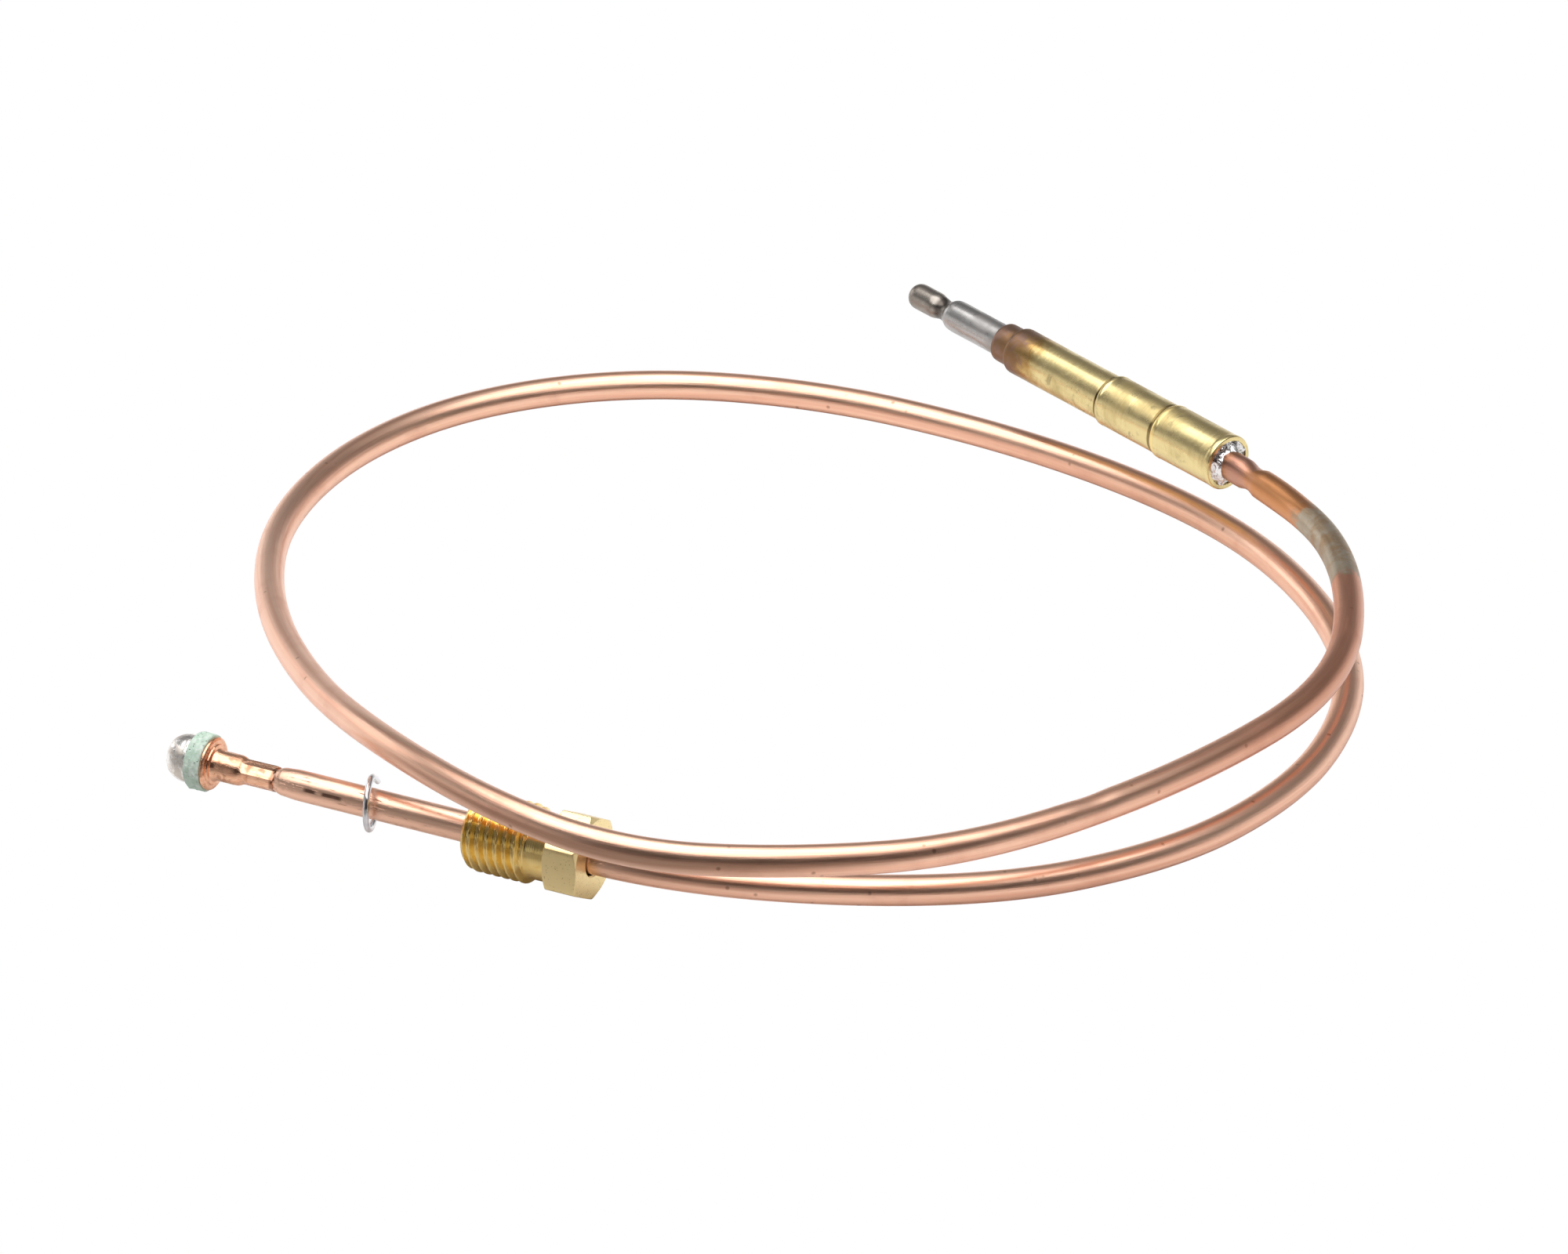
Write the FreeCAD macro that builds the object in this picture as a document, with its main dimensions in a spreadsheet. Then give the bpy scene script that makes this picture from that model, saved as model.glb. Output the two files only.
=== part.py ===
import FreeCAD, Part
import math
import os
import Sketcher

# Gas-safety thermocouple, about 604 mm long from its tip to its contact.
# The hot end is a closed steel tube in a stepped brass plug. A coiled copper lead
# carries the current to a button contact, and a screwed nut on the lead holds that
# contact in the gas valve. A wire ring lies loose on the lead between the two.
#
# Frame: millimetres, +Z up, floor at Z = 0. The straight tail of the lead lies along
# X with the contact at its -X end. The origin is under the middle of the box round
# everything but the lead. Turned pieces are drawn along their own axis: a station is
# a distance along that axis, and a dia is the diameter there.

doc = FreeCAD.newDocument("Thermocouple")

# ---------------------------------------------------------------- driving sizes
SIZES = [
    # where the two ends lie
    ("plug_x", 34.75), ("plug_y", 41.15), ("plug_height", 9.85),
    ("plug_azimuth", 158.5), ("plug_rise", 2.1),
    ("tail_y", -56.2), ("tail_height", 4.62), ("tail_end_x", -22.7),
    ("nut_rear_x", 12.2), ("ring_x", -12.9),
    # the lead: copper sheath, insulating sleeve, copper core; then where its route
    # starts inside the plug and first turns behind it, as stations along the plug
    ("sheath_dia", 3.1), ("sheath_bore", 2.1), ("core_dia", 1.0),
    ("lead_start", 5.0), ("lead_first_turn", -10.5),
    # stepped plug, stations from its rear face towards the tip
    ("plug_rear", 0.0), ("recess_floor", 4.0), ("rear_land_end", 8.7),
    ("bevel_end", 9.2), ("mid_land_end", 17.6), ("tube_seat", 24.0),
    ("front_land_end", 32.3), ("collar_end", 34.7),
    ("rear_land_dia", 6.0), ("mid_land_dia", 5.6), ("front_land_dia", 5.1),
    ("collar_dia", 4.3), ("recess_dia", 5.0), ("chamber_dia", 4.0),
    ("rear_round", 0.3), ("shoulder_round", 0.3), ("collar_round", 0.4),
    # solder that closes the rear of the plug
    ("solder_face", 0.6),
    # steel tube, stations from the same rear face
    ("tube_dia", 3.4), ("tube_bore", 2.6), ("neck_dia", 2.2), ("neck_bore", 1.4),
    ("tip_dia", 2.8), ("tip_bore", 2.0), ("tube_shoulder", 42.4), ("neck_start", 43.5),
    ("neck_end", 44.0), ("tip_start", 44.8), ("tip_floor", 47.8), ("tip_end", 49.0),
    ("tube_round", 0.4), ("tip_round", 1.2),
    # joint between the two wires, and what insulates it
    ("sleeving_end", 7.0), ("splice_start", 9.5),
    ("wire_meet", 11.5), ("splice_end", 13.5), ("cover_start", 8.0),
    ("cover_end", 23.0), ("splice_dia", 1.7), ("cover_dia", 2.8), ("liner_start", 24.5),
    # contact end, stations from where the full-size sheath stops
    ("tail_start", 0.0), ("skirt_start", 0.8), ("skirt_end", 4.7), ("neck_stop", 6.1),
    ("flange_rear", 7.9), ("flange_lip", 8.1), ("flange_front", 8.35),
    ("washer_front", 10.15), ("core_stop", 11.4), ("button_end", 13.05),
    ("sheath_neck", 2.1), ("sheath_neck_bore", 1.4), ("skirt_dia", 2.6),
    ("flange_dia", 5.4), ("flange_lip_dia", 5.0), ("washer_dia", 6.0),
    ("button_dia", 5.0), ("button_round", 2.4), ("washer_round", 0.25),
    # coupling nut M8 x 1, stations from its rear face towards the nose
    ("nut_rear", 0.0), ("hex_length", 3.8), ("hex_flats", 8.0), ("hex_chamfer", 0.3),
    ("hex_face_dia", 8.1), ("relief_end", 6.2), ("relief_dia", 6.8), ("nose_start", 12.5),
    ("nut_length", 13.2), ("thread_dia", 8.0), ("nose_dia", 6.7), ("nut_bore", 3.5),
    ("thread_pitch", 1.0), ("thread_depth", 0.6), ("groove_floor", 0.15),
    ("groove_margin", 0.15),
    # wire ring
    ("ring_mean_dia", 5.25), ("ring_wire_dia", 0.65), ("ring_sweep", 325.0),
    ("ring_gap_at", 115.0), ("ring_yaw", 18.0),
]
THREAD_GROOVES = 6
SKIRT_FLATS = 8

sheet = doc.addObject("Spreadsheet::Sheet", "Sizes")
size = {}
for row, (alias, value) in enumerate(SIZES, 1):
    sheet.set("A%d" % row, alias)
    sheet.set("B%d" % row, str(value))
    sheet.setAlias("B%d" % row, alias)
    size[alias] = value
doc.recompute()

# ---------------------------------------------------------------- places
PLUG_TURN = FreeCAD.Rotation(size["plug_azimuth"], -size["plug_rise"], 0)
PLUG_PLACE = FreeCAD.Placement(
    FreeCAD.Vector(size["plug_x"], size["plug_y"], size["plug_height"]), PLUG_TURN)
TOWARDS_CONTACT = FreeCAD.Rotation(FreeCAD.Vector(0, 0, 1), 180)


def tail_place(x):
    """A place on the tail's axis whose own X points towards the contact."""
    spot = FreeCAD.Vector(x, size["tail_y"], size["tail_height"])
    return FreeCAD.Placement(spot, TOWARDS_CONTACT)


def plug_point(station):
    """The point on the plug's axis at a station from its rear face."""
    return PLUG_PLACE.multVec(FreeCAD.Vector(station, 0, 0))


# The lead's route, from inside the plug to the start of the crimped contact end. It
# leaves the plug along the plug's axis, turns above its own last stretch, goes over
# the nut and comes down to the floor. It runs once round on the floor, under the plug,
# and ends in the straight tail that carries the nut.
FLOOR_RUN = size["sheath_dia"] / 2
LEAD_ROUTE = [
    plug_point(size["lead_start"]),
    plug_point(size["lead_first_turn"]),
    (56.5, 25.2, 9.1),
    (65.3, 3.0, 8.9),
    (60.0, -23.0, 9.4),
    (48.8, -46.8, 10.1),
    (34.5, -59.5, 11.3),
    (21.0, -66.5, 12.3),
    (6.0, -65.5, 12.9),
    (-11.0, -57.5, 12.7),
    (-28.0, -42.0, 7.8),
    (-43.5, -23.5, 4.3),
    (-54.0, -3.5, 2.1),
    (-56.0, 16.0, FLOOR_RUN),
    (-50.0, 32.5, FLOOR_RUN),
    (-36.5, 45.0, FLOOR_RUN),
    (-18.0, 51.0, FLOOR_RUN),
    (2.5, 51.0, FLOOR_RUN),
    (21.5, 47.5, FLOOR_RUN),
    (36.8, 41.4, FLOOR_RUN),
    (49.0, 32.2, FLOOR_RUN),
    (58.2, 21.2, FLOOR_RUN),
    (63.3, 8.7, FLOOR_RUN),
    (64.8, -6.5, FLOOR_RUN),
    (60.2, -24.0, FLOOR_RUN),
    (47.2, -41.7, 2.4),
    (23.2, size["tail_y"], size["tail_height"]),
    (size["tail_end_x"], size["tail_y"], size["tail_height"]),
]


# ---------------------------------------------------------------- drawing helpers
def origin_plane(body, role):
    """One of a body's own three origin planes."""
    for feature in body.Origin.OriginFeatures:
        if feature.Role == role:
            return feature
    raise RuntimeError("no plane " + role)


def plane_sketch(body, name, role):
    """An empty sketch on one of the body's origin planes."""
    sketch = body.newObject("Sketcher::SketchObject", name)
    sketch.AttachmentSupport = (origin_plane(body, role), "")
    sketch.MapMode = "FlatFace"
    return sketch


def bind_corner(sketch, line, station, dia):
    """Hold the start of a line at a station and at half a diameter."""
    axes = (("DistanceX", size[station], "Sizes." + station, -2),
            ("DistanceY", size[dia] / 2, "Sizes.%s / 2" % dia, -1))
    for kind, distance, formula, axis_line in axes:
        if distance == 0:
            sketch.addConstraint(Sketcher.Constraint("PointOnObject", line, 1, axis_line))
            continue
        index = sketch.addConstraint(
            Sketcher.Constraint(kind, -1, 1, line, 1, distance))
        name = "%s_%d" % (kind, line)
        sketch.renameConstraint(index, name)
        sketch.setExpression("Constraints." + name, formula)


def closed_outline(sketch, outline):
    """Draw a closed outline through (station, dia) corners bound to the sheet."""
    corners = [FreeCAD.Vector(size[station], size[dia] / 2, 0) for station, dia in outline]
    count = len(corners)
    for index in range(count):
        end = corners[(index + 1) % count]
        sketch.addGeometry(Part.LineSegment(corners[index], end), False)
    for index in range(count):
        following = (index + 1) % count
        sketch.addConstraint(Sketcher.Constraint("Coincident", index, 2, following, 1))
    for index, (station, dia) in enumerate(outline):
        bind_corner(sketch, index, station, dia)


def turned(label, outline, place, kind="PartDesign::Revolution", body=None, name="turned"):
    """Turn a closed outline round the body's X axis, as on a lathe."""
    if body is None:
        body = doc.addObject("PartDesign::Body", label)
        body.Label = label
        body.Placement = place
    sketch = plane_sketch(body, "%s_%s_outline" % (label, name), "XY_Plane")
    closed_outline(sketch, outline)
    feature = body.newObject(kind, "%s_%s" % (label, name))
    feature.Profile = sketch
    feature.ReferenceAxis = (sketch, ["H_Axis"])
    feature.Angle = 360
    doc.recompute()
    return body


def round_edges(body, rims, radius):
    """Round the circular edges at the given (station, dia) rims."""
    base = body.Tip
    names = []
    for index, edge in enumerate(base.Shape.Edges, 1):
        if not hasattr(edge.Curve, "Radius"):
            continue
        for station, dia in rims:
            same_size = abs(edge.Curve.Radius - size[dia] / 2) < 1e-4
            middle = base.Shape.Placement.inverse().multVec(edge.Curve.Center)
            if same_size and abs(middle.x - size[station]) < 1e-4:
                names.append("Edge%d" % index)
    if not names:
        raise RuntimeError("no rim to round on " + body.Label)
    fillet = body.newObject("PartDesign::Fillet", "%s_%s" % (body.Label, radius))
    fillet.Base = (base, names)
    fillet.setExpression("Radius", "Sizes." + radius)
    doc.recompute()


def tube_outline(start, end, outer, inner):
    """The outline of a plain tube."""
    return [(start, inner), (start, outer), (end, outer), (end, inner)]


# How much of the shorter run beside a corner its arc takes up.
ARC_SHARE = 0.45


def rounded_route(points):
    """Straight runs joined by tangent arcs, each as large as its two runs allow."""
    corners = [FreeCAD.Vector(*point) for point in points]
    edges = []
    radii = []
    reach = corners[0]
    for before, corner, after in zip(corners, corners[1:], corners[2:]):
        arriving = (corner - before).normalize()
        leaving = (after - corner).normalize()
        half_turn = arriving.getAngle(leaving) / 2
        setback = ARC_SHARE * min((corner - before).Length, (after - corner).Length)
        radius = setback / math.tan(half_turn)
        start = corner - arriving * setback
        finish = corner + leaving * setback
        inward = (leaving - arriving).normalize()
        sagitta_to_corner = radius / math.cos(half_turn) - radius
        middle = corner + inward * sagitta_to_corner
        edges.append(Part.LineSegment(reach, start).toShape())
        edges.append(Part.Arc(start, middle, finish).toShape())
        reach = finish
        radii.append(radius)
    edges.append(Part.LineSegment(reach, corners[-1]).toShape())
    return Part.Wire(edges), radii


def swept_along(wire, outer, inner=None):
    """A round bar or tube that follows a wire."""
    start = wire.Edges[0].Vertexes[0].Point
    direction = wire.Edges[0].tangentAt(wire.Edges[0].FirstParameter)
    rims = [Part.Wire(Part.makeCircle(size[outer] / 2, start, direction))]
    if inner is not None:
        rims.append(Part.Wire(Part.makeCircle(size[inner] / 2, start, direction)))
    return wire.makePipe(Part.makeFace(rims, "Part::FaceMakerBullseye"))


def tail_bar(start, end, start_dia, end_dia):
    """A straight or tapering bar on the tail's axis, between two stations."""
    length = size[end] - size[start]
    if size[start_dia] == size[end_dia]:
        bar = Part.makeCylinder(size[start_dia] / 2, length)
    else:
        bar = Part.makeCone(size[start_dia] / 2, size[end_dia] / 2, length)
    along = FreeCAD.Placement(
        FreeCAD.Vector(size[start], 0, 0), FreeCAD.Rotation(FreeCAD.Vector(0, 1, 0), 90))
    bar.Placement = tail_place(size["tail_end_x"]).multiply(along)
    return bar


def plain_feature(label, shape):
    """A sub-part whose shape is set directly."""
    feature = doc.addObject("Part::Feature", label)
    feature.Label = label
    feature.Shape = shape
    return feature


CONTACT_PLACE = tail_place(size["tail_end_x"])
nodes = []

# ---------------------------------------------------------------- stepped plug
# Brass turning: three lands, each smaller towards the tip, then a rolled collar on
# the steel tube. Its rear is counterbored for solder and the middle is hollow.
plug_sleeve = turned("plug_sleeve", [
    ("plug_rear", "recess_dia"), ("plug_rear", "rear_land_dia"),
    ("rear_land_end", "rear_land_dia"), ("bevel_end", "mid_land_dia"),
    ("mid_land_end", "mid_land_dia"), ("mid_land_end", "front_land_dia"),
    ("front_land_end", "front_land_dia"), ("front_land_end", "collar_dia"),
    ("collar_end", "collar_dia"), ("collar_end", "tube_dia"),
    ("tube_seat", "tube_dia"), ("tube_seat", "chamber_dia"),
    ("recess_floor", "chamber_dia"), ("recess_floor", "recess_dia"),
], PLUG_PLACE)
round_edges(plug_sleeve, [("plug_rear", "rear_land_dia")], "rear_round")
round_edges(plug_sleeve, [("front_land_end", "front_land_dia")], "shoulder_round")
round_edges(plug_sleeve, [("collar_end", "collar_dia")], "collar_round")
nodes.append(plug_sleeve)

# Solder fills the counterbore round the lead and ends just inside the rim.
nodes.append(turned(
    "solder_seal", tube_outline("solder_face", "recess_floor", "recess_dia", "sheath_dia"),
    PLUG_PLACE))

# ---------------------------------------------------------------- sensing tube
# The outer leg of the junction: a drawn steel tube, swaged to a neck behind a closed,
# rounded tip.
hot_tip_tube = turned("hot_tip_tube", [
    ("tube_seat", "tube_bore"), ("tube_seat", "tube_dia"),
    ("tube_shoulder", "tube_dia"), ("neck_start", "neck_dia"), ("neck_end", "neck_dia"),
    ("tip_start", "tip_dia"), ("tip_end", "tip_dia"), ("tip_end", "plug_rear"),
    ("tip_floor", "plug_rear"), ("tip_floor", "tip_bore"), ("tip_start", "tip_bore"),
    ("neck_end", "neck_bore"), ("neck_start", "neck_bore"), ("tube_shoulder", "tube_bore"),
], PLUG_PLACE)
round_edges(hot_tip_tube, [("tube_shoulder", "tube_dia")], "tube_round")
round_edges(hot_tip_tube, [("tip_end", "tip_dia")], "tip_round")
nodes.append(hot_tip_tube)

# Weld nugget: joins the inner wire to the tube and is the measuring junction.
nodes.append(turned("hot_junction_weld", [
    ("tip_start", "plug_rear"), ("tip_start", "tip_bore"),
    ("tip_floor", "tip_bore"), ("tip_floor", "plug_rear"),
], PLUG_PLACE))

# Inner leg: a constantan wire from the splice to the weld.
nodes.append(turned("constantan_wire", [
    ("wire_meet", "plug_rear"), ("wire_meet", "core_dia"),
    ("tip_start", "core_dia"), ("tip_start", "plug_rear"),
], PLUG_PLACE))

# Sleeving that keeps the constantan wire off the steel tube, squeezed at the neck.
nodes.append(turned("tip_insulator", [
    ("liner_start", "core_dia"), ("liner_start", "tube_bore"),
    ("tube_shoulder", "tube_bore"), ("neck_start", "neck_bore"),
    ("neck_end", "neck_bore"), ("neck_end", "core_dia"),
], PLUG_PLACE))

# Crimp tube that joins the constantan wire to the lead's copper core: the cold
# junction. A glass-fibre cover keeps it off the plug.
nodes.append(turned(
    "cold_junction_crimp", tube_outline("splice_start", "splice_end", "splice_dia", "core_dia"),
    PLUG_PLACE))
nodes.append(turned("splice_cover", [
    ("cover_start", "core_dia"), ("cover_start", "cover_dia"), ("cover_end", "cover_dia"),
    ("cover_end", "core_dia"), ("splice_end", "core_dia"), ("splice_end", "splice_dia"),
    ("splice_start", "splice_dia"), ("splice_start", "core_dia"),
], PLUG_PLACE))

# ---------------------------------------------------------------- lead
lead_wire, bend_radii = rounded_route(LEAD_ROUTE)
print("bend radii mm", ["%.0f" % radius for radius in bend_radii])
print("lead centreline %.1f mm" % lead_wire.Length)

# Copper sheath: full size along the route, then a shoulder and a neck that sit in
# the crimped contact ferrule.
sheath_run = swept_along(lead_wire, "sheath_dia", "sheath_bore")
sheath_section = math.pi * (size["sheath_dia"] ** 2 - size["sheath_bore"] ** 2) / 4
print("sheath volume / (section x length) %.4f"
      % (sheath_run.Volume / (sheath_section * lead_wire.Length)))
sheath_shoulder = tail_bar("tail_start", "skirt_start", "sheath_dia", "sheath_neck").cut(
    tail_bar("tail_start", "skirt_start", "sheath_bore", "sheath_neck_bore"))
sheath_neck = tail_bar("skirt_start", "neck_stop", "sheath_neck", "sheath_neck").cut(
    tail_bar("skirt_start", "neck_stop", "sheath_neck_bore", "sheath_neck_bore"))
nodes.append(plain_feature(
    "lead_sheath", sheath_run.fuse([sheath_shoulder, sheath_neck]).removeSplitter()))


def lengthened_wire(wire, first_station, last_station):
    """The lead's wire with straight ends at a plug station and a contact station."""
    inner_end = plug_point(size[first_station])
    outer_end = CONTACT_PLACE.multVec(FreeCAD.Vector(size[last_station], 0, 0))
    first = wire.Edges[0]
    last = wire.Edges[-1]
    head = Part.LineSegment(inner_end, first.Vertexes[1].Point).toShape()
    foot = Part.LineSegment(last.Vertexes[0].Point, outer_end).toShape()
    return Part.Wire([head] + wire.Edges[1:-1] + [foot])


# Copper core: from the splice to inside the contact button.
core_run = swept_along(lengthened_wire(lead_wire, "wire_meet", "core_stop"), "core_dia")
nodes.append(plain_feature("lead_core", core_run))

# Insulating sleeve between core and sheath: it reaches the splice cover at one end,
# and is squeezed through the sheath's neck up to the washer at the other.
sleeving_run = swept_along(
    lengthened_wire(lead_wire, "sleeving_end", "tail_start"), "sheath_bore")
sleeving_shoulder = tail_bar("tail_start", "skirt_start", "sheath_bore", "sheath_neck_bore")
sleeving_neck = tail_bar(
    "skirt_start", "flange_front", "sheath_neck_bore", "sheath_neck_bore")
nodes.append(plain_feature(
    "lead_insulation", sleeving_run.fuse([sleeving_shoulder, sleeving_neck]).cut(core_run)))

# ---------------------------------------------------------------- contact end
# Ferrule: a thin flange, a barrel as thick as the lead, and a skirt crimped flat by
# flat on the sheath's neck.
ferrule_turning = turned("ferrule_turning", [
    ("skirt_end", "sheath_neck"), ("skirt_end", "sheath_dia"),
    ("flange_rear", "sheath_dia"), ("flange_rear", "flange_lip_dia"),
    ("flange_lip", "flange_dia"), ("flange_front", "flange_dia"),
    ("flange_front", "sheath_neck_bore"), ("neck_stop", "sheath_neck_bore"),
    ("neck_stop", "sheath_neck"),
], CONTACT_PLACE)
skirt_prism = doc.addObject("Part::Prism", "skirt_prism")
skirt_prism.Polygon = SKIRT_FLATS
skirt_prism.setExpression("Circumradius", "Sizes.skirt_dia / 2")
skirt_prism.setExpression("Height", "Sizes.skirt_end - Sizes.skirt_start")
skirt_hole = doc.addObject("Part::Cylinder", "skirt_hole")
skirt_hole.setExpression("Radius", "Sizes.sheath_neck / 2")
skirt_hole.setExpression("Height", "Sizes.skirt_end - Sizes.skirt_start")
skirt_place = CONTACT_PLACE.multiply(FreeCAD.Placement(
    FreeCAD.Vector(size["skirt_start"], 0, 0),
    FreeCAD.Rotation(FreeCAD.Vector(0, 1, 0), 90)))
skirt_prism.Placement = skirt_place
skirt_hole.Placement = skirt_place
crimp_skirt = doc.addObject("Part::Cut", "crimp_skirt")
crimp_skirt.Base = skirt_prism
crimp_skirt.Tool = skirt_hole
contact_ferrule = doc.addObject("Part::Fuse", "contact_ferrule")
contact_ferrule.Base = ferrule_turning
contact_ferrule.Tool = crimp_skirt
contact_ferrule.Label = "contact_ferrule"
nodes.append(contact_ferrule)

# Fibre washer between the flange and the contact button.
insulating_washer = turned(
    "insulating_washer", tube_outline("flange_front", "washer_front", "washer_dia", "core_dia"),
    CONTACT_PLACE)
round_edges(insulating_washer, [
    ("flange_front", "washer_dia"), ("washer_front", "washer_dia")], "washer_round")
nodes.append(insulating_washer)

# Domed contact button, soldered on the end of the core.
contact_button = turned("contact_button", [
    ("washer_front", "core_dia"), ("washer_front", "button_dia"),
    ("button_end", "button_dia"), ("button_end", "plug_rear"),
    ("core_stop", "plug_rear"), ("core_stop", "core_dia"),
], CONTACT_PLACE)
round_edges(contact_button, [("button_end", "button_dia")], "button_round")
nodes.append(contact_button)

# ---------------------------------------------------------------- coupling nut
# The hexagon is a pad with its corners up and down. The relief and the thread blank
# are turned on to it, and the thread is a row of grooves a pitch apart.
coupling_nut = doc.addObject("PartDesign::Body", "coupling_nut")
coupling_nut.Label = "coupling_nut"
coupling_nut.Placement = tail_place(size["nut_rear_x"])
hexagon = plane_sketch(coupling_nut, "hexagon", "YZ_Plane")
half_flats = size["hex_flats"] / 2
corner_reach = half_flats / math.cos(math.pi / 6)
hex_corners = []
for step in range(6):
    angle = math.pi / 2 + step * math.pi / 3
    hex_corners.append(FreeCAD.Vector(
        corner_reach * math.cos(angle), corner_reach * math.sin(angle), 0))
for step in range(6):
    hexagon.addGeometry(Part.LineSegment(hex_corners[step], hex_corners[(step + 1) % 6]))
for step in range(6):
    hexagon.addConstraint(Sketcher.Constraint("Coincident", step, 2, (step + 1) % 6, 1))
guide_circle = hexagon.addGeometry(
    Part.Circle(FreeCAD.Vector(0, 0, 0), FreeCAD.Vector(0, 0, 1), corner_reach), True)
hexagon.addConstraint(Sketcher.Constraint("Coincident", guide_circle, 3, -1, 1))
for step in range(6):
    hexagon.addConstraint(Sketcher.Constraint("PointOnObject", step, 1, guide_circle))
for step in range(5):
    hexagon.addConstraint(Sketcher.Constraint("Equal", step, step + 1))
hexagon.addConstraint(Sketcher.Constraint("PointOnObject", 0, 1, -2))
across_corners = hexagon.addConstraint(
    Sketcher.Constraint("Radius", guide_circle, corner_reach))
hexagon.renameConstraint(across_corners, "corner_reach")
hexagon.setExpression("Constraints.corner_reach", "Sizes.hex_flats / 2 / cos(30)")
hex_bore = hexagon.addGeometry(
    Part.Circle(FreeCAD.Vector(0, 0, 0), FreeCAD.Vector(0, 0, 1), size["nut_bore"] / 2))
hexagon.addConstraint(Sketcher.Constraint("Coincident", hex_bore, 3, -1, 1))
bore_radius = hexagon.addConstraint(
    Sketcher.Constraint("Radius", hex_bore, size["nut_bore"] / 2))
hexagon.renameConstraint(bore_radius, "bore_radius")
hexagon.setExpression("Constraints.bore_radius", "Sizes.nut_bore / 2")
hex_pad = coupling_nut.newObject("PartDesign::Pad", "hex_pad")
hex_pad.Profile = hexagon
hex_pad.setExpression("Length", "Sizes.hex_length")
doc.recompute()

# The hexagon's corners are turned back to a 30 degree chamfer at both faces. The
# thread's grooves have 60 degree flanks. Every cutting outline stands a little outside
# the metal that it cuts.
CUT_PAST = 0.1
HALF_THREAD_ANGLE = math.pi / 6
chamfer_rise = size["hex_chamfer"] / math.tan(math.pi / 6)
flank = (size["thread_depth"] + CUT_PAST) * math.tan(HALF_THREAD_ANGLE)
groove_start = size["relief_end"] + size["groove_margin"]
worked_out = [
    ("chamfer_rear", size["hex_chamfer"]),
    ("chamfer_front", size["hex_length"] - size["hex_chamfer"]),
    ("chamfer_outer_dia", size["hex_face_dia"] + 2 * chamfer_rise),
    ("chamfer_clear_dia", 2 * (corner_reach + CUT_PAST)),
    ("thread_root_dia", size["thread_dia"] - 2 * size["thread_depth"]),
    ("thread_clear_dia", size["thread_dia"] + 2 * CUT_PAST),
    ("groove_start", groove_start),
    ("groove_floor_start", groove_start + flank),
    ("groove_floor_end", groove_start + flank + size["groove_floor"]),
    ("groove_end", groove_start + 2 * flank + size["groove_floor"]),
]
for row, (alias, value) in enumerate(worked_out, len(SIZES) + 1):
    sheet.set("A%d" % row, alias)
    sheet.set("B%d" % row, "%.4f" % value)
    sheet.setAlias("B%d" % row, alias)
    size[alias] = round(value, 4)
doc.recompute()

turned("coupling_nut", [
    ("nut_rear", "hex_face_dia"), ("chamfer_rear", "chamfer_outer_dia"),
    ("chamfer_rear", "chamfer_clear_dia"), ("nut_rear", "chamfer_clear_dia"),
], None, "PartDesign::Groove", coupling_nut, "rear_chamfer")
turned("coupling_nut", [
    ("hex_length", "hex_face_dia"), ("chamfer_front", "chamfer_outer_dia"),
    ("chamfer_front", "chamfer_clear_dia"), ("hex_length", "chamfer_clear_dia"),
], None, "PartDesign::Groove", coupling_nut, "front_chamfer")
turned("coupling_nut", [
    ("hex_length", "nut_bore"), ("hex_length", "relief_dia"), ("relief_end", "relief_dia"),
    ("relief_end", "thread_dia"), ("nose_start", "thread_dia"), ("nut_length", "nose_dia"),
    ("nut_length", "nut_bore"),
], None, "PartDesign::Revolution", coupling_nut, "shank")
turned("coupling_nut", [
    ("groove_start", "thread_clear_dia"), ("groove_floor_start", "thread_root_dia"),
    ("groove_floor_end", "thread_root_dia"), ("groove_end", "thread_clear_dia"),
], None, "PartDesign::Groove", coupling_nut, "thread_groove")
thread_rows = coupling_nut.newObject("PartDesign::LinearPattern", "thread_rows")
thread_rows.Originals = [doc.getObject("coupling_nut_thread_groove")]
thread_rows.Direction = (doc.getObject("coupling_nut_thread_groove_outline"), ["H_Axis"])
thread_rows.setExpression("Length", "Sizes.thread_pitch * %d" % (THREAD_GROOVES - 1))
thread_rows.Occurrences = THREAD_GROOVES
coupling_nut.Tip = thread_rows
doc.recompute()
nodes.append(coupling_nut)

# ---------------------------------------------------------------- wire ring
# An open ring of round wire, loose and a little askew on the tail between the nut and
# the contact. Its gap is on the loop's side.
retaining_ring = doc.addObject("Part::Torus", "retaining_ring")
retaining_ring.Label = "retaining_ring"
retaining_ring.setExpression("Radius1", "Sizes.ring_mean_dia / 2")
retaining_ring.setExpression("Radius2", "Sizes.ring_wire_dia / 2")
retaining_ring.setExpression("Angle3", "Sizes.ring_sweep")
ring_spot = FreeCAD.Vector(size["ring_x"], size["tail_y"], size["tail_height"])
ring_square = FreeCAD.Rotation(FreeCAD.Vector(0, 1, 0), 90).multiply(
    FreeCAD.Rotation(FreeCAD.Vector(0, 0, 1), size["ring_gap_at"]))
ring_turn = FreeCAD.Rotation(size["ring_yaw"], 0, 0).multiply(ring_square)
retaining_ring.Placement = FreeCAD.Placement(ring_spot, ring_turn)
nodes.append(retaining_ring)

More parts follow.
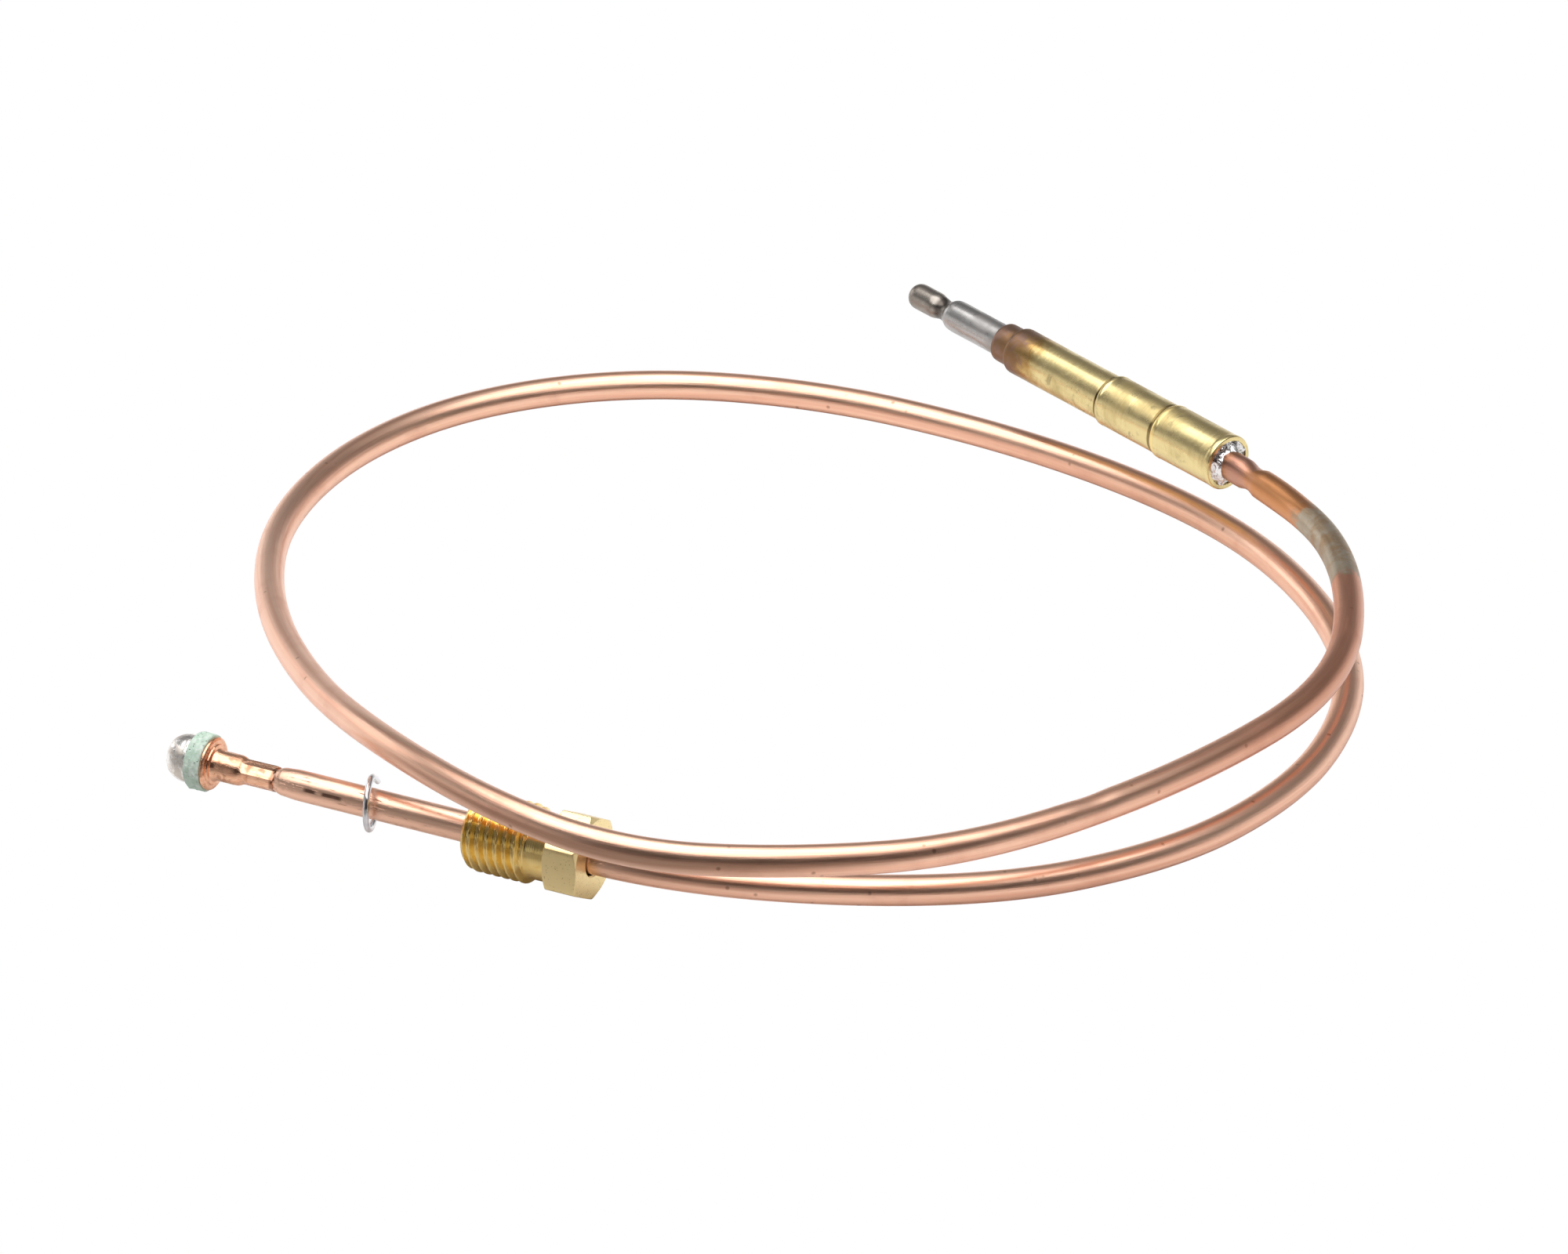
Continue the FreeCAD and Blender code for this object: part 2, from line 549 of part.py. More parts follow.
# ---------------------------------------------------------------- checks and files
doc.recompute()
for item in doc.Objects:
    if "Invalid" in item.State or "Error" in item.State:
        raise RuntimeError("%s is %s" % (item.Label, item.State))
os.makedirs("parts", exist_ok=True)
for node in nodes:
    shape = node.Shape
    if shape.isNull() or not shape.isValid() or len(shape.Solids) != 1:
        raise RuntimeError("%s: %d solids" % (node.Label, len(shape.Solids)))
    shape.exportStep("parts/%s.step" % node.Label)
    box = shape.BoundBox
    print("%-20s %8.1f mm3  x %6.1f %6.1f  y %6.1f %6.1f  z %5.2f %5.2f" % (
        node.Label, shape.Volume, box.XMin, box.XMax, box.YMin, box.YMax, box.ZMin, box.ZMax))
print("%d nodes" % len(nodes))
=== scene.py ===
# %% [markdown]
# # A gas-safety thermocouple
# A pilot flame heats a closed steel tip. The tip makes a few millivolts, a copper
# lead carries them away, and a screwed nut presses the lead's button contact into
# the gas valve. The CAD model gives every size and place. This file adds what CAD
# leaves out: a real thread, solder lumps, heat colours, drawing marks and light.

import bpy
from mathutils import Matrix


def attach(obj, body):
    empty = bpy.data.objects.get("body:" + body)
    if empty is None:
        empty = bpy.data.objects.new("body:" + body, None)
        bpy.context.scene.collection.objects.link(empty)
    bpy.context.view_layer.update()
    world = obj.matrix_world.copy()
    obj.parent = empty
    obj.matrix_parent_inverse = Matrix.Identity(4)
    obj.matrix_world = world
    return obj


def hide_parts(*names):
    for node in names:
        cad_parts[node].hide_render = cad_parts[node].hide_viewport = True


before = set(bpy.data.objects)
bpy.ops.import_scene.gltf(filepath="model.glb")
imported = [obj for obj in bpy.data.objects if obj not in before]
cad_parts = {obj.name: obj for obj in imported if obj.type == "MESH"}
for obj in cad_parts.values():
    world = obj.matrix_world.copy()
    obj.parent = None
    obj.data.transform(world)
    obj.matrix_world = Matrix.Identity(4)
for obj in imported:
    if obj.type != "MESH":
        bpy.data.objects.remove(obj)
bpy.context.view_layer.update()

# %% Tools
import math

import bmesh
import bpy
import numpy as np
from mathutils import Matrix, Vector, noise

MM = 0.001
FULL_TURN = 2 * math.pi


def clamped(value):
    """The value, held between 0 and 1."""
    return max(0.0, min(1.0, value))


def stands_for(piece, body, cad_node):
    """A piece moves with its body in place of a CAD node, which is hidden."""
    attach(piece, body)
    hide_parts(cad_node)


# %% [markdown]
# ## The camera
# The part is small and is seen from far away through a long lens, which keeps the
# near and far sides of the loop almost the same size. The camera looks down at it
# from the front and a little from the right.

# %% Camera
CAMERA_AZIMUTH = math.radians(117.32)
CAMERA_DROP = math.radians(27.5)
CAMERA_DISTANCE = 1.15
CAMERA_LENS = 256.7     # millimetres, on a 36 mm wide sensor
LOOKED_AT = Vector((0.002, 0.004, 0.0))

looking = Vector((
    math.cos(CAMERA_DROP) * math.cos(CAMERA_AZIMUTH),
    math.cos(CAMERA_DROP) * math.sin(CAMERA_AZIMUTH),
    -math.sin(CAMERA_DROP)))
camera = bpy.data.objects.new("camera", bpy.data.cameras.new("camera"))
bpy.context.scene.collection.objects.link(camera)
camera.location = LOOKED_AT - looking * CAMERA_DISTANCE
camera.rotation_euler = looking.to_track_quat("-Z", "Y").to_euler()
camera.data.lens = CAMERA_LENS
camera.data.sensor_width = 36.0
camera.data.clip_start = 0.05
bpy.context.scene.camera = camera
print("camera at", [round(value, 3) for value in camera.location])

# %% [markdown]
# ## Where the pieces lie
# Every turned piece is drawn along its own X axis, as it would be on a lathe. A
# station is a distance along that axis in millimetres. One place serves the hot end,
# and the others lie on the lead's straight tail with X towards the contact.

# %% Places
PLUG_AZIMUTH = math.radians(158.5)
PLUG_RISE = math.radians(2.1)
PLUG_REAR = Vector((34.75, 41.15, 9.85)) * MM
TAIL_Y = -56.2
TAIL_Z = 4.62
CONTACT_X, NUT_X, RING_X = -22.7, 12.2, -12.9
RING_YAW = math.radians(18.0)

plug_place = (Matrix.Translation(PLUG_REAR) @ Matrix.Rotation(PLUG_AZIMUTH, 4, "Z")
              @ Matrix.Rotation(-PLUG_RISE, 4, "Y"))


def tail_place(x):
    """A place on the tail whose own X axis points towards the contact."""
    spot = Vector((x, TAIL_Y, TAIL_Z)) * MM
    return Matrix.Translation(spot) @ Matrix.Rotation(math.pi, 4, "Z")


contact_place = tail_place(CONTACT_X)
nut_place = tail_place(NUT_X)
ring_place = (Matrix.Translation(Vector((RING_X, TAIL_Y, TAIL_Z)) * MM)
              @ Matrix.Rotation(RING_YAW, 4, "Z"))
print("plug axis", [round(v, 4) for v in plug_place.to_3x3() @ Vector((1, 0, 0))])

# %% [markdown]
# ## A lathe in mesh code
# A lathe piece is an outline turned round X. Corners get a small radius, because no
# real edge is perfectly sharp, and long runs get extra points so that dents and
# lumps have something to move. Each vertex also keeps its own place in millimetres
# in an attribute called surface, which the materials read.

# %% Outline helpers
def softened(corners, steps=4):
    """(station, radius, rounding) corners as an outline with rounded corners."""
    outline = []
    last = len(corners) - 1
    for index, (station, radius, rounding) in enumerate(corners):
        corner = Vector((station, radius))
        if rounding == 0 or index in (0, last):
            outline.append(tuple(corner))
            continue
        before = Vector(corners[index - 1][:2])
        after = Vector(corners[index + 1][:2])
        start = corner + (before - corner).normalized() * rounding
        finish = corner + (after - corner).normalized() * rounding
        for step in range(steps + 1):
            share = step / steps
            outline.append(tuple(
                start.lerp(corner, share).lerp(corner.lerp(finish, share), share)))
    return outline


def filled_in(outline, step):
    """The same outline with a point at least every step millimetres."""
    filled = [outline[0]]
    for first, second in zip(outline, outline[1:]):
        first, second = Vector(first), Vector(second)
        parts = max(1, math.ceil((second - first).length / step))
        filled += [tuple(first.lerp(second, part / parts)) for part in range(1, parts + 1)]
    return filled


# %% Skin and lathe
def skinned(name, rings, surface, sharp_from=35, loop=False):
    """A mesh over rings of points in metres. surface holds a millimetre point for each."""
    count, around = len(rings), len(rings[0])
    faces = []
    for ring in range(count if loop else count - 1):
        here, there = ring * around, (ring + 1) % count * around
        for step in range(around):
            following = (step + 1) % around
            faces.append((here + step, here + following, there + following, there + step))
    mesh = bpy.data.meshes.new(name)
    mesh.from_pydata([tuple(point) for ring in rings for point in ring], [], faces)
    layer = mesh.attributes.new("surface", "FLOAT_VECTOR", "POINT")
    layer.data.foreach_set("vector", np.asarray(surface, np.float32).reshape(-1))
    work = bmesh.new()
    work.from_mesh(mesh)
    bmesh.ops.remove_doubles(work, verts=work.verts, dist=2e-7)
    open_edges = [edge for edge in work.edges if len(edge.link_faces) == 1]
    if open_edges:
        bmesh.ops.holes_fill(work, edges=open_edges, sides=around)
    bmesh.ops.recalc_face_normals(work, faces=work.faces)
    work.to_mesh(mesh)
    work.free()
    mesh.shade_smooth()
    mesh.set_sharp_from_angle(angle=math.radians(sharp_from))
    piece = bpy.data.objects.new(name, mesh)
    bpy.context.scene.collection.objects.link(piece)
    return piece


def lathe(name, outline, place, shape=None, around=96, sharp_from=35):
    """Turn an outline round X. shape(station, radius, angle) may move each point."""
    rings, surface = [], []
    for station, radius in outline:
        ring = []
        for step in range(around):
            angle = FULL_TURN * step / around
            s, r = shape(station, radius, angle) if shape else (station, radius)
            point = Vector((s, r * math.cos(angle), r * math.sin(angle)))
            ring.append(point * MM)
            surface.append(point)
        rings.append(ring)
    piece = skinned(name, rings, surface, sharp_from)
    piece.matrix_world = place
    print("%-22s %6d vertices" % (name, len(piece.data.vertices)))
    return piece


def lumps(station, radius, angle, size, seed):
    """Smooth noise over a turned surface, from -1 to 1, with lumps size mm across."""
    spot = Vector((station, radius * math.cos(angle), radius * math.sin(angle)))
    return noise.noise(spot / size + Vector((seed, seed * 2.3, seed * 3.1)))


# %% [markdown]
# ## The lead
# The lead is a thin copper tube over an insulated copper wire, so it is stiff: it
# keeps the loop that it is bent to. One smooth spline gives its line. The mesh
# follows that line, because the real tube isn't perfectly round: it is pinched where
# it leaves the solder, and a little flat where it was gripped to bend it.

# %% Route
PLUG_DEPTH = 5.0        # how far the lead reaches into the plug
STRAIGHT_OUT = 10.5     # how far it runs straight on behind the plug
ROUTE = [tuple(plug_place @ (Vector((station, 0, 0)) * MM))
         for station in (PLUG_DEPTH, -STRAIGHT_OUT)]
# One point, over the nut, stands half a millimetre above the CAD route.
ROUTE += [
    (0.0565, 0.0252, 0.0091), (0.0653, 0.003, 0.0089), (0.060, -0.023, 0.0094),
    (0.0488, -0.0468, 0.0101), (0.0345, -0.0595, 0.0113), (0.021, -0.0665, 0.0123),
    (0.006, -0.0655, 0.0134), (-0.011, -0.0575, 0.0127), (-0.028, -0.042, 0.0078),
    (-0.0435, -0.0235, 0.0043), (-0.054, -0.0035, 0.0021), (-0.056, 0.016, 0.00155),
    (-0.050, 0.0325, 0.00155), (-0.0365, 0.045, 0.00155), (-0.018, 0.051, 0.00155),
    (0.0025, 0.051, 0.00155), (0.0215, 0.0475, 0.00155), (0.0368, 0.0414, 0.00155),
    (0.049, 0.0322, 0.00155), (0.0582, 0.0212, 0.00155), (0.0633, 0.0087, 0.00155),
    (0.0648, -0.0065, 0.00155), (0.0602, -0.024, 0.00155), (0.0472, -0.0417, 0.0024),
    (0.0232, -0.0562, 0.00462), (0.0012, -0.0562, 0.00462), (-0.0227, -0.0562, 0.00462),
]
curve = bpy.data.curves.new("lead_line", "CURVE")
curve.dimensions = "3D"
curve.resolution_u = 28
spline = curve.splines.new("NURBS")
spline.points.add(len(ROUTE) - 1)
for point, (x, y, z) in zip(spline.points, ROUTE):
    point.co = (x, y, z, 1)
spline.order_u = 3
spline.use_endpoint_u = True
line_piece = bpy.data.objects.new("lead_line", curve)
bpy.context.scene.collection.objects.link(line_piece)
bpy.context.view_layer.update()
line_mesh = bpy.data.meshes.new_from_object(line_piece)
lead_line = [vertex.co.copy() for vertex in line_mesh.vertices]
bpy.data.objects.remove(line_piece)
travelled = [0.0]
for before, after in zip(lead_line, lead_line[1:]):
    travelled.append(travelled[-1] + (after - before).length / MM)
lead_length = travelled[-1]
print("lead line %.1f mm in %d points" % (lead_length, len(lead_line)))

# %% The tube's section along the lead
SHEATH_RADIUS = 1.55


def bump(value, middle, width):
    """1 at the middle, falling smoothly to 0 at width either side."""
    share = abs(value - middle) / width
    return 0.0 if share >= 1 else (1 - share * share) ** 2


def sheath_radius(along, angle):
    """Radius of the copper tube, from its distance along the lead and round it."""
    out = along - PLUG_DEPTH
    radius = SHEATH_RADIUS
    # beside the plug: a faint swelling, a pinch and an oval mouth in the solder
    radius += 0.05 * bump(out, 8.0, 5.0)
    radius -= 0.34 * bump(out, 4.4, 1.4) * (0.55 + 0.45 * math.cos(2 * angle - 0.9))
    radius += 0.10 * bump(out, 1.8, 2.0) * math.cos(2 * angle)
    # where it was gripped: one long flat and two short dents
    gripped = bump(along, 128, 42)
    radius += 0.09 * gripped * math.cos(2 * angle)
    radius -= 0.10 * bump(along, 93, 3.0) * (0.5 + 0.5 * math.cos(angle))
    radius -= 0.05 * bump(along, 150, 4.0) * (0.5 + 0.5 * math.cos(angle))
    # the tail tapers into the ferrule, and all of it is a little uneven
    to_end = lead_length - along
    radius -= 0.14 * max(0.0, 1 - to_end / 2.2) ** 2
    radius += 0.010 * noise.noise(Vector((along / 11, math.cos(angle), math.sin(angle))))
    return radius


# %% The lead's mesh
AROUND_LEAD = 40
END_NECK = [(0.25, 1.36), (0.5, 1.25), (0.8, 1.12), (1.6, 1.06), (6.0, 1.05)]

centres = list(lead_line)
along_lead = list(travelled)
end_radii = {}
for station, radius in END_NECK:
    centres.append(lead_line[-1] + Vector((-station * MM, 0, 0)))
    along_lead.append(lead_length + station)
    end_radii[len(centres) - 1] = radius
rings, surface = [], []
for index, centre in enumerate(centres):
    before = centres[max(index - 1, 0)]
    after = centres[min(index + 1, len(centres) - 1)]
    ahead = (after - before).normalized()
    above = (Vector((0, 0, 1)) - ahead * ahead.z).normalized()
    aside = above.cross(ahead)
    ring = []
    for step in range(AROUND_LEAD):
        angle = FULL_TURN * step / AROUND_LEAD
        radius = end_radii.get(index) or sheath_radius(along_lead[index], angle)
        up, out = radius * math.cos(angle), radius * math.sin(angle)
        ring.append(centre + (above * up + aside * out) * MM)
        surface.append((along_lead[index], up, out))
    rings.append(ring)
lead = skinned("lead_sheath_tube", rings, surface, 50)
stands_for(lead, "lead_assembly", "lead_sheath")
print("lead vertices", len(lead.data.vertices))

# %% [markdown]
# ## The brass plug
# The plug is turned from bar in three steps, and each step slides into the burner
# before the next. A small bead stands where the rear land drops to the middle one. The
# front step has a fine lip with a groove cut under it. The collar was rolled down on
# to the steel tube, so its end is round.

# %% Plug
PLUG_CORNERS = [
    (0.0, 2.50, 0), (0.0, 3.0, 0.22), (0.55, 3.0, 0.1), (0.75, 2.96, 0.1),
    (8.3, 2.97, 0.1), (8.5, 3.01, 0.12), (8.9, 2.98, 0.15), (9.2, 2.72, 0.1),
    (9.5, 2.8, 0.1), (17.1, 2.8, 0.1), (17.3, 2.84, 0.06), (17.55, 2.83, 0.06),
    (17.6, 2.45, 0.03), (17.9, 2.45, 0.05), (18.0, 2.55, 0.05), (32.2, 2.55, 0.35),
    (32.4, 2.15, 0.08), (34.7, 2.13, 0.4), (34.7, 1.62, 0), (24.0, 1.62, 0),
    (24.0, 2.0, 0), (4.0, 2.0, 0), (4.0, 2.5, 0), (0.0, 2.5, 0),
]


def plug_wear(station, radius, angle):
    """Handling marks: shallow flats and the uneven edge of the rolled collar."""
    if radius < 2.05:
        return station, radius
    radius += 0.018 * lumps(station, radius, angle, 3.2, 1.0)
    rolled = bump(station, 33.5, 1.8)
    radius += 0.05 * rolled * lumps(station, radius, angle, 1.3, 5.0)
    return station, radius


plug = lathe("plug_sleeve_turned", filled_in(softened(PLUG_CORNERS), 0.35), plug_place,
             plug_wear)
stands_for(plug, "lead_assembly", "plug_sleeve")

# %% [markdown]
# ## The solder
# Solder was melted into the counterbore and froze in lumps round the lead, with dark
# cracks of flux between them. Noise moves each point of a turned ring in and out.

# %% Solder
SOLDER_CORNERS = [
    (3.6, 1.42, 0), (-0.85, 1.50, 0.05), (-0.30, 1.78, 0.3), (0.0, 2.2, 0.3),
    (0.12, 2.56, 0.1), (3.6, 2.56, 0),
]


def frozen_lumps(station, radius, angle):
    """Blobs on the open face only, so that the solder still fills the bore."""
    open_face = clamped(1.4 - station)
    blob = lumps(0, radius, angle, 1.1, 2.0) + 0.3 * lumps(0, radius, angle, 0.6, 7.0)
    crack = 1 - min(1.0, abs(lumps(0, radius, angle, 0.7, 4.0)) / 0.10)
    return station + open_face * (0.12 * crack - 0.30 * blob), radius


solder = lathe("solder_seal_lumps", filled_in(softened(SOLDER_CORNERS), 0.06), plug_place,
               frozen_lumps, 120, 60)
stands_for(solder, "lead_assembly", "solder_seal")

# %% [markdown]
# ## The sensing tube
# The steel tube is swaged to a thin neck and closed to a round tip. The forming left
# it a little uneven, and its front shoulder has a soft edge.

# %% Sensing tube
TUBE_CORNERS = [
    (49.0, 0.0, 0), (49.0, 1.4, 1.2), (45.3, 1.40, 0.3), (44.6, 1.22, 0.3),
    (43.8, 1.08, 0.3), (43.2, 1.25, 0.2), (42.6, 1.66, 0.3), (41.8, 1.71, 0.3),
    (24.1, 1.71, 0), (24.1, 1.3, 0), (42.4, 1.3, 0), (43.5, 0.7, 0), (44.0, 0.7, 0),
    (44.8, 1.0, 0), (47.8, 1.0, 0), (47.8, 0.0, 0),
]


def swaged(station, radius, angle):
    """The dents that the swaging rolls left near the neck and on the tip."""
    if radius > 1.02:       # the outside only, so the bore stays true
        near_neck = bump(station, 43.9, 2.4)
        radius += 0.06 * near_neck * lumps(station, radius, angle, 0.9, 3.0)
        radius += 0.02 * lumps(station, radius, angle, 2.0, 6.0)
    return station, radius


sensing_tube = lathe("hot_tip_tube_drawn", filled_in(softened(TUBE_CORNERS, 6), 0.2),
                     plug_place, swaged)
stands_for(sensing_tube, "lead_assembly", "hot_tip_tube")

# %% [markdown]
# ## The coupling nut
# The nut is turned from hexagon bar. One skin of rings makes the whole of it: each
# point's radius is the smallest of what the hexagon, the chamfers and the thread
# allow at that station and angle. The thread is a true helix here, because the CAD
# model's thread is a plain row of grooves.

# %% Nut sizes
HALF_FLATS = 4.0
CORNER_RADIUS = 4.56
HEX_END, RELIEF_END, NOSE_START, NUT_END = 3.8, 6.2, 12.5, 13.2
THREAD_RADIUS, THREAD_DEPTH, PITCH = 4.0, 0.56, 1.0
NUT_BORE_RADIUS = 1.75
OUTER_SKIN = 9.0        # stands in the outline for "the nut's own radius here"


def hexagon_radius(angle):
    """Distance from the axis to the hexagon, with a flat facing angle 0."""
    from_flat = (angle + math.pi / 6) % (math.pi / 3) - math.pi / 6
    return min(HALF_FLATS / math.cos(from_flat), CORNER_RADIUS)


def thread_cut(station, angle):
    """0 on a crest and 1 at the root of a single-start helix."""
    phase = (station / PITCH - angle / FULL_TURN) % 1.0
    from_root = abs(phase - 0.5)
    return clamped((0.43 - from_root) / 0.34)


def nut_radius(station, angle):
    """The nut's outer radius, station by station."""
    if station <= HEX_END:
        to_face = min(station, HEX_END - station)
        return min(hexagon_radius(angle), 4.02 + to_face * 1.75)
    if station <= RELIEF_END:
        from_ends = min(station - HEX_END, RELIEF_END - station)
        return 3.4 + 0.12 * max(0.0, 1 - from_ends / 0.15) ** 2
    ends = min(3.45 + (station - RELIEF_END) * 1.2, 3.36 + (NUT_END - station) * 0.92)
    return min(THREAD_RADIUS - THREAD_DEPTH * thread_cut(station, angle), ends)


# %% Nut
nut_outline = [(0.0, NUT_BORE_RADIUS + 0.15), (0.0, 2.6), (0.0, 3.4)]
stations = [HEX_END * step / 76 for step in range(77)]
stations += [HEX_END + 0.01 + step * 0.05 for step in range(48)]
stations += [RELIEF_END + 0.01 + step * 0.035 for step in range(200)]
nut_outline += [(station, OUTER_SKIN) for station in stations]
nut_outline += [(NUT_END, OUTER_SKIN), (NUT_END, 2.4), (NUT_END, NUT_BORE_RADIUS + 0.12),
                (NUT_END - 0.12, NUT_BORE_RADIUS), (0.15, NUT_BORE_RADIUS),
                (0.0, NUT_BORE_RADIUS + 0.15)]


def nut_shape(station, radius, angle):
    """Points on the outer skin take the nut's real radius."""
    if radius == OUTER_SKIN:
        radius = nut_radius(station, angle)
    return station, radius


nut = lathe("coupling_nut_turned", nut_outline, nut_place, nut_shape, 144, 28)
stands_for(nut, "nut", "coupling_nut")

# %% [markdown]
# ## The ring
# A piece of spring wire is bent round the lead between the nut and the contact. Its
# ends don't meet, it hangs a little askew, and its upper end is bent out of line.

# %% Ring
RING_RADIUS, WIRE_RADIUS = 2.625, 0.325
RING_OPENING = math.radians(35)
RING_OPENS_AT = math.radians(7.5)
BENDS = 90
AROUND_WIRE = 20
WIRE_LENGTH = 14.9
rings, surface = [], []
for bend in range(BENDS + 1):
    share = bend / BENDS
    turn = RING_OPENS_AT + RING_OPENING / 2 + share * (FULL_TURN - RING_OPENING)
    bent_out = 0.3 * max(0.0, 1 - share / 0.12) ** 2
    reach = RING_RADIUS - 0.03 * math.sin(turn * 2)
    centre = Vector((bent_out, reach * math.cos(turn), reach * math.sin(turn)))
    outward = Vector((0, math.cos(turn), math.sin(turn)))
    from_end = min(share, 1 - share) * (FULL_TURN - RING_OPENING) * RING_RADIUS
    thick = WIRE_RADIUS * math.sqrt(max(0.0, 1 - max(0.0, 1 - from_end / 0.25) ** 2))
    ring = []
    for step in range(AROUND_WIRE):
        angle = FULL_TURN * step / AROUND_WIRE
        section = outward * math.cos(angle) + Vector((1, 0, 0)) * math.sin(angle)
        ring.append((centre + section * max(thick, 0.02)) * MM)
        surface.append((share * WIRE_LENGTH, math.cos(angle) * WIRE_RADIUS,
                        math.sin(angle) * WIRE_RADIUS))
    rings.append(ring)
wire_ring = skinned("retaining_ring_wire", rings, surface, 60)
wire_ring.matrix_world = ring_place
stands_for(wire_ring, "ring", "retaining_ring")
print("ring vertices", len(wire_ring.data.vertices))

# %% [markdown]
# ## The contact end
# The ferrule is pressed from copper tube. Its skirt was squeezed flat by flat on the
# lead, which left facets and a notched edge. A fibre washer insulates it from the
# domed button, which is dipped in solder and so is never quite round.

# %% Ferrule
FERRULE_CORNERS = [
    (0.75, 1.04, 0), (0.75, 1.24, 0.05), (1.1, 1.27, 0.1), (4.4, 1.25, 0.2),
    (4.85, 1.52, 0.25), (5.4, 1.56, 0.1), (7.4, 1.56, 0.2), (7.7, 1.70, 0.08),
    (7.74, 2.05, 0.05), (7.9, 2.10, 0.04), (7.94, 2.47, 0.04), (8.1, 2.7, 0.06),
    (8.35, 2.7, 0.06), (8.35, 1.0, 0), (0.75, 1.0, 0),
]


def squeezed(station, radius, angle):
    """Eight flats and a notched rear edge on the skirt, and a little unevenness."""
    on_skirt = clamped((4.7 - station) / 0.5)
    if radius > 1.1:
        from_flat = (angle + math.pi / 8) % (math.pi / 4) - math.pi / 8
        flat = math.cos(math.pi / 8) / math.cos(from_flat)
        uneven = 1 + 0.05 * math.sin(3 * angle + 1.0)
        radius *= 1 + on_skirt * (flat * uneven * 1.03 - 1)
    if station < 1.2:
        station += 0.22 * max(0.0, math.sin(8 * angle)) * (1.2 - station) / 0.45
    if radius > 1.1:
        radius += 0.015 * lumps(station, radius, angle, 1.0, 8.0)
    return station, radius


ferrule = lathe("contact_ferrule_pressed", filled_in(softened(FERRULE_CORNERS), 0.12),
                contact_place, squeezed, 128, 30)
stands_for(ferrule, "lead_assembly", "contact_ferrule")

# %% Washer
WASHER_CORNERS = [
    (8.37, 0.55, 0), (8.37, 2.97, 0.2), (10.13, 2.97, 0.25), (10.13, 0.55, 0),
    (8.37, 0.55, 0),
]


def ragged(station, radius, angle):
    """The torn edge of pressed fibre."""
    if radius > 2.2:
        radius += 0.09 * lumps(station, radius, angle, 0.8, 9.0) - 0.05
        radius += 0.05 * lumps(station, radius, angle, 0.3, 11.0)
        station += 0.05 * lumps(station, radius, angle, 0.6, 12.0)
    return station, radius


washer = lathe("insulating_washer_fibre", filled_in(softened(WASHER_CORNERS), 0.1),
               contact_place, ragged, 128, 50)
stands_for(washer, "lead_assembly", "insulating_washer")

# %% Button
BUTTON_CORNERS = [
    (10.1, 0.55, 0), (10.1, 2.5, 0.08), (10.45, 2.5, 0.2), (13.05, 2.44, 2.35),
    (13.05, 0.0, 0), (11.5, 0.0, 0), (11.4, 0.55, 0), (10.1, 0.55, 0),
]


def dipped(station, radius, angle):
    """The dome's uneven coat of solder, and a few dents from the valve's contact."""
    share = clamped((station - 10.3) / 0.5)
    swell = 0.04 * lumps(station, radius, angle, 1.6, 13.0)
    swell += 0.012 * lumps(station, radius, angle, 0.6, 14.0) - 0.03
    if radius > 0.6 or station > 12:
        return station + share * swell * 0.5, radius * (1 + share * swell * 0.5)
    return station, radius


button = lathe("contact_button_dome", filled_in(softened(BUTTON_CORNERS, 14), 0.12),
               contact_place, dipped, 96, 40)
stands_for(button, "lead_assembly", "contact_button")

# %% [markdown]
# ## Finishes
# Every finish starts from a few effects that are shared: marks drawn along the metal,
# blotches of tarnish, fine pits, and zones that start and stop at a station. Each is
# a node group, built once and placed in every material with that material's values.

# %% Node helpers
def node(tree, kind, inputs=None, **settings):
    """Add a node, set its properties, and link or set its inputs."""
    made = tree.nodes.new(kind)
    for key, value in settings.items():
        setattr(made, key, value)
    for key, value in (inputs or {}).items():
        if isinstance(value, bpy.types.NodeSocket):
            tree.links.new(value, made.inputs[key])
        else:
            made.inputs[key].default_value = value
    return made


def effect(name, inputs, outputs):
    """An empty node group with named sockets, and its inner input and output nodes."""
    group = bpy.data.node_groups.new(name, "ShaderNodeTree")
    for socket, start in inputs:
        kind = "NodeSocketVector" if start is None else "NodeSocketFloat"
        made = group.interface.new_socket(name=socket, in_out="INPUT", socket_type=kind)
        if start is not None:
            made.default_value = start
    for socket in outputs:
        group.interface.new_socket(name=socket, in_out="OUTPUT",
                                   socket_type="NodeSocketFloat")
    return group, group.nodes.new("NodeGroupInput"), group.nodes.new("NodeGroupOutput")


def math_node(tree, operation, first, second=0.0):
    """The result socket of one sum."""
    return node(tree, "ShaderNodeMath", {0: first, 1: second},
                operation=operation).outputs[0]


def ramp(tree, value, low, high):
    """Smoothly from 0 at low to 1 at high."""
    return node(tree, "ShaderNodeMapRange", {"Value": value, "From Min": low,
                "From Max": high}, interpolation_type="SMOOTHSTEP").outputs["Result"]


# %% Effect: draw marks
draw_marks, given, result = effect(
    "draw_marks", [("Place", None), ("Along", 0.05), ("Across", 6.0)], ["Mask", "Height"])
stretch = node(draw_marks, "ShaderNodeCombineXYZ", {
    "X": given.outputs["Along"], "Y": given.outputs["Across"],
    "Z": given.outputs["Across"]})
stretched = node(draw_marks, "ShaderNodeVectorMath", {
    0: given.outputs["Place"], 1: stretch.outputs[0]}, operation="MULTIPLY")
marks = node(draw_marks, "ShaderNodeTexNoise", {
    "Vector": stretched.outputs[0], "Scale": 1.0, "Detail": 5.0, "Roughness": 0.62})
draw_marks.links.new(ramp(draw_marks, marks.outputs["Fac"], 0.36, 0.66),
                     result.inputs["Mask"])
draw_marks.links.new(marks.outputs["Fac"], result.inputs["Height"])

